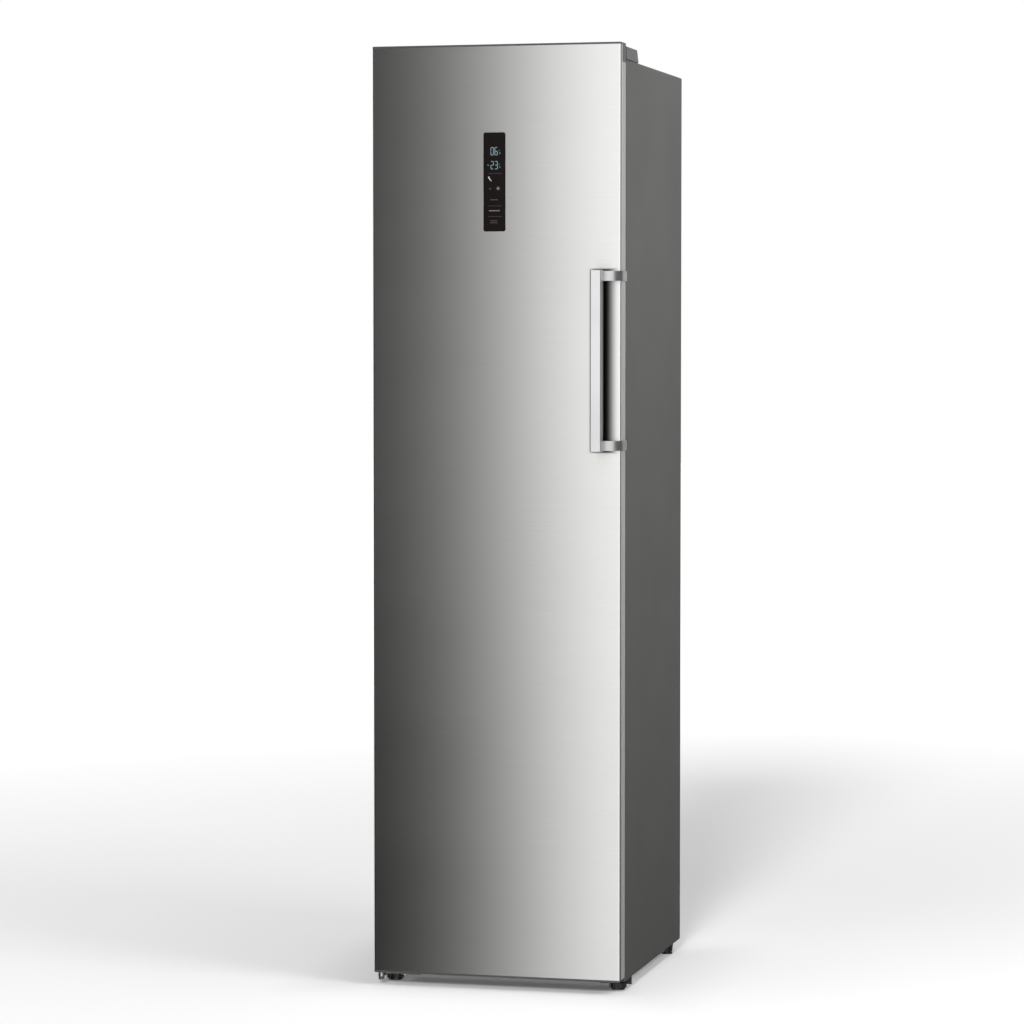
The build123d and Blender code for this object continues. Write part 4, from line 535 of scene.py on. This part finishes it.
numbers = Strokes()
for text, low in NUMBERS:
    write_number(numbers, text, NUMBERS_LEFT, low)
numbers.line((MINUS_LEFT, MINUS_HEIGHT), (MINUS_RIGHT, MINUS_HEIGHT), MINUS_STROKE)
for text, low in NUMBERS:
    numbers.ring((9.6, low + 9.0), radius=0.9, thick=0.35, steps=10)
    numbers.ring((11.6, low + 3.6), radius=1.7, thick=0.4, steps=10, begin=50, end=310)
numbers.build("display_numbers", glow("number_light", (0.29, 0.46, 0.53), 0.85))

# %% [markdown]
# Below the numbers are the touch keys, in three strengths of light. Where the photograph has
# printed words there are plain bars, between thin dividing lines.

# %% Symbols
STAR_MIDDLE, STAR_REACH = Vector((7.6, -12.6)), 3.6
DIVIDER_HEIGHTS = (16.4, -46.4, -67.0)
DIVIDER_LEFT, DIVIDER_RIGHT, DIVIDER_STROKE = -12.5, 15.0, 0.45

key_symbols = Strokes()
key_symbols.line((-11.6, 9.6), (-8.4, 4.2), thick=2.0)
key_symbols.line((-8.8, 5.6), (-6.0, 1.6), thick=1.1)
key_symbols.ring((-10.6, 8.6), radius=2.0, thick=0.8, steps=8, begin=60, end=230)
key_symbols.build("display_key_symbols", glow("key_light", (0.75, 0.74, 0.70), 0.85))

dim_symbols = Strokes()
for angle in range(0, 180, 60):
    reach = Vector((math.cos(math.radians(angle)), math.sin(math.radians(angle)))) * STAR_REACH
    dim_symbols.line(STAR_MIDDLE - reach, STAR_MIDDLE + reach, thick=0.9)
dim_symbols.ring(STAR_MIDDLE, radius=2.3, thick=0.7, steps=12)
dim_symbols.bars(5, left=-10.0, pitch=4.4, height=-55.8, long=2.6, thick=2.0)
dim_symbols.build("display_dim_symbols", glow("dim_light", (0.42, 0.37, 0.34), 0.52))

faint_symbols = Strokes()
for height in DIVIDER_HEIGHTS:
    faint_symbols.line((DIVIDER_LEFT, height), (DIVIDER_RIGHT, height), DIVIDER_STROKE)
faint_symbols.bars(4, left=-8.0, pitch=4.0, height=-34.6, long=2.2, thick=1.5)
faint_symbols.ring((-8.5, -13.2), radius=1.7, thick=0.7, steps=12)
for height, pitch in ((-75.3, 2.8), (-79.3, 3.0)):
    faint_symbols.bars(5, left=-7.5, pitch=pitch, height=height, long=1.5, thick=1.3)
faint_symbols.build("display_faint_symbols", glow("faint_light", (0.20, 0.15, 0.14), 0.45))

# %% [markdown]
# The freezer stands on a pale matt studio floor that keeps its shadow. Metal doesn't see the
# floor: it sees the reflection cards below, which reach under it.

# %% Floor
FLOOR_HALF = 30.0
FLOOR_COLOUR = (0.88, 0.88, 0.88, 1)
FLOOR_ROUGHNESS, FLOOR_SPECULAR = 0.9, 0.1

floor_mesh = bpy.data.meshes.new("studio_floor")
floor_mesh.from_pydata([(-FLOOR_HALF, -FLOOR_HALF, 0), (FLOOR_HALF, -FLOOR_HALF, 0),
                        (FLOOR_HALF, FLOOR_HALF, 0), (-FLOOR_HALF, FLOOR_HALF, 0)], [],
                       [(0, 1, 2, 3)])
floor = place_new("studio_floor", floor_mesh)
floor.visible_glossy = False
floor_material, floor_tree, floor_shader = new_material("studio_floor")
floor_shader.inputs["Base Color"].default_value = FLOOR_COLOUR
floor_shader.inputs["Roughness"].default_value = FLOOR_ROUGHNESS
floor_shader.inputs["Specular IOR Level"].default_value = FLOOR_SPECULAR
floor_mesh.materials.append(floor_material)
print("floor half side", FLOOR_HALF, "m")

# %% [markdown]
# For the camera and for clear plastic a little white of the floor's own is added. It is least
# behind the freezer, which paints the shade there deeper, and grows with the distance from there,
# so that the floor ends as white as the world and has no horizon. Close to the cabinet's base only
# a share of it is added, as a painted contact shade.

# %% The floor's own white
WHITE_START, WHITE_END = 0.3, 6.0
WHITE_NEAR, WHITE_FAR = 0.12, 0.62
# Painted shade: the floor's white is least round this point behind the freezer.
SHADE_MIDDLE = (0.35, 1.0, 0.0)
CONTACT_REACH, CONTACT_SHARE = 0.20, 0.4

place = coordinates(floor_tree)
distance = calculate_vector(floor_tree, "DISTANCE", place, SHADE_MIDDLE, result="Value")
white = map_range(floor_tree, distance, WHITE_START, WHITE_END, WHITE_NEAR, WHITE_FAR)
rays = floor_tree.nodes.new("ShaderNodeLightPath").outputs
seen = calculate(floor_tree, "MAXIMUM", rays["Is Camera Ray"], rays["Is Transmission Ray"])
white = calculate(floor_tree, "MULTIPLY", seen, white)

# Painted contact shade: only a share of the white is added close to the base.
shell_low, shell_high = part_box("outer_shell")
folded = calculate_vector(floor_tree, "ABSOLUTE", place)
plan = split(floor_tree, calculate_vector(floor_tree, "SUBTRACT", folded,
                                          (shell_high.x, -shell_low.y, 0)))
from_base = calculate(floor_tree, "MAXIMUM", plan["X"], plan["Y"])
share = map_range(floor_tree, from_base, 0.0, CONTACT_REACH, CONTACT_SHARE, 1.0)
floor_shader.inputs["Emission Color"].default_value = (1, 1, 1, 1)
feed(floor_tree, floor_shader.inputs["Emission Strength"],
     calculate(floor_tree, "MULTIPLY", white, share))
print("the floor's own white: from", WHITE_NEAR, "to", WHITE_FAR)

# %% [markdown]
# The world is white where the camera, reflections and clear plastic see it, and softer as a
# light.

# %% World
WORLD_LIGHT = 0.36

world = bpy.data.worlds.new("studio_world")
bpy.context.scene.world = world
world.use_nodes = True
tree = world.node_tree
rays = tree.nodes.new("ShaderNodeLightPath").outputs
seen = calculate(tree, "MAXIMUM", rays["Is Camera Ray"], rays["Is Glossy Ray"])
seen = calculate(tree, "MAXIMUM", seen, rays["Is Transmission Ray"])
background = tree.nodes["Background"]
background.inputs["Color"].default_value = (1, 1, 1, 1)
feed(tree, background.inputs["Strength"], map_range(tree, seen, 0.0, 1.0, WORLD_LIGHT, 1.0))
print("world light", WORLD_LIGHT)

# %% [markdown]
# A soft lamp at the right lights the cabinet's side, and a broad light from the front throws the
# shadow behind. Neither shows in reflections: the cards of the next step do that work.

# %% Lamps
SIDE_PLACE, SIDE_TARGET = Vector((2.8, -1.2, 2.4)), Vector((0.25, 0, 1.2))
SIDE_SIZE, SIDE_WATTS = 1.6, 53
FRONT_DIRECTION = Vector((-0.06, 1.0, -0.52))
FRONT_STRENGTH, FRONT_ANGLE = 2.0, math.radians(12)

side_data = bpy.data.lights.new("side_lamp", "AREA")
side_data.shape = "RECTANGLE"
side_data.size = side_data.size_y = SIDE_SIZE
side_data.energy = SIDE_WATTS
side_lamp = place_new("side_lamp", side_data)
side_lamp.location = SIDE_PLACE
aim(side_lamp, SIDE_TARGET - SIDE_PLACE)
side_lamp.visible_camera = False
side_lamp.visible_glossy = False

front_data = bpy.data.lights.new("front_light", "SUN")
front_data.energy = FRONT_STRENGTH
front_data.angle = FRONT_ANGLE
front_light = place_new("front_light", front_data)
aim(front_light, FRONT_DIRECTION)
front_light.visible_glossy = False

# %% [markdown]
# Steel shows what stands before it. Three glowing cards stand round the freezer where only
# reflections see them. The long one before the door carries the sweep from dark to bright that
# the photographed door reflects, one closes the corner at its right end, and one behind is seen
# by what faces the back and the sides.

# %% Reflection cards
CARD_BOTTOM, CARD_TOP = -8.0, 12.0


def card(name, place, turn, low, high, power, stops):
    """A glowing upright sheet seen only in reflections.

    It stands at a place of the floor plan and runs along X, turned by some degrees. Stops are
    (metres along it, share of the power above the high height, share below the low one).
    """
    left, right = stops[0][0], stops[-1][0]
    mesh = bpy.data.meshes.new(name)
    mesh.from_pydata([(left, 0, CARD_BOTTOM), (right, 0, CARD_BOTTOM),
                      (right, 0, CARD_TOP), (left, 0, CARD_TOP)], [], [(0, 1, 2, 3)])
    sheet = place_new(name, mesh)
    sheet.location = (*place, 0)
    sheet.rotation_euler.z = math.radians(turn)
    sheet.visible_camera = False
    sheet.visible_shadow = False
    sheet.visible_diffuse = False

    material, tree, shader = new_material(name)
    tree.nodes.remove(shader)
    where = split(tree, coordinates(tree))
    along = map_range(tree, where["X"], left, right)
    colours = []
    for shares in ([stop[2] for stop in stops], [stop[1] for stop in stops]):
        ramp = tree.nodes.new("ShaderNodeValToRGB")
        elements = ramp.color_ramp.elements
        elements.remove(elements[1])
        for number, (stop, share) in enumerate(zip(stops, shares)):
            position = (stop[0] - left) / (right - left)
            element = elements[0] if number == 0 else elements.new(position)
            element.position = position
            element.color = (share, share, share, 1)
        feed(tree, ramp.inputs["Fac"], along)
        colours.append(ramp.outputs["Color"])
    shine = tree.nodes.new("ShaderNodeEmission")
    shine.inputs["Strength"].default_value = power
    feed(tree, shine.inputs["Color"],
         mix_colours(tree, map_range(tree, where["Z"], low, high), *colours))
    feed(tree, tree.nodes["Material Output"].inputs["Surface"], shine.outputs["Emission"])
    mesh.materials.append(material)


card("door_card", place=(0, -1.3), turn=0, low=0.1, high=1.1, power=1.65,
     stops=[(-9.0, 0.008, 0.0), (-0.70, 0.009, 0.0), (-0.549, 0.020, 0.0),
            (-0.471, 0.042, 0.002), (-0.402, 0.081, 0.012), (-0.333, 0.146, 0.062),
            (-0.265, 0.280, 0.170), (-0.184, 0.49, 0.345), (-0.116, 0.72, 0.555),
            (-0.054, 0.89, 0.73), (0.0, 0.945, 0.81), (1.3, 0.94, 0.81)])
card("corner_card", place=(1.3, -1.3), turn=90, low=-0.1, high=1.1, power=0.2,
     stops=[(0.0, 1.0, 0.7), (2.5, 1.0, 0.7)])
card("side_card", place=(0, 3.0), turn=0, low=-0.6, high=2.2, power=0.95,
     stops=[(-1.0, 1.0, 0.02), (4.5, 1.0, 0.02)])
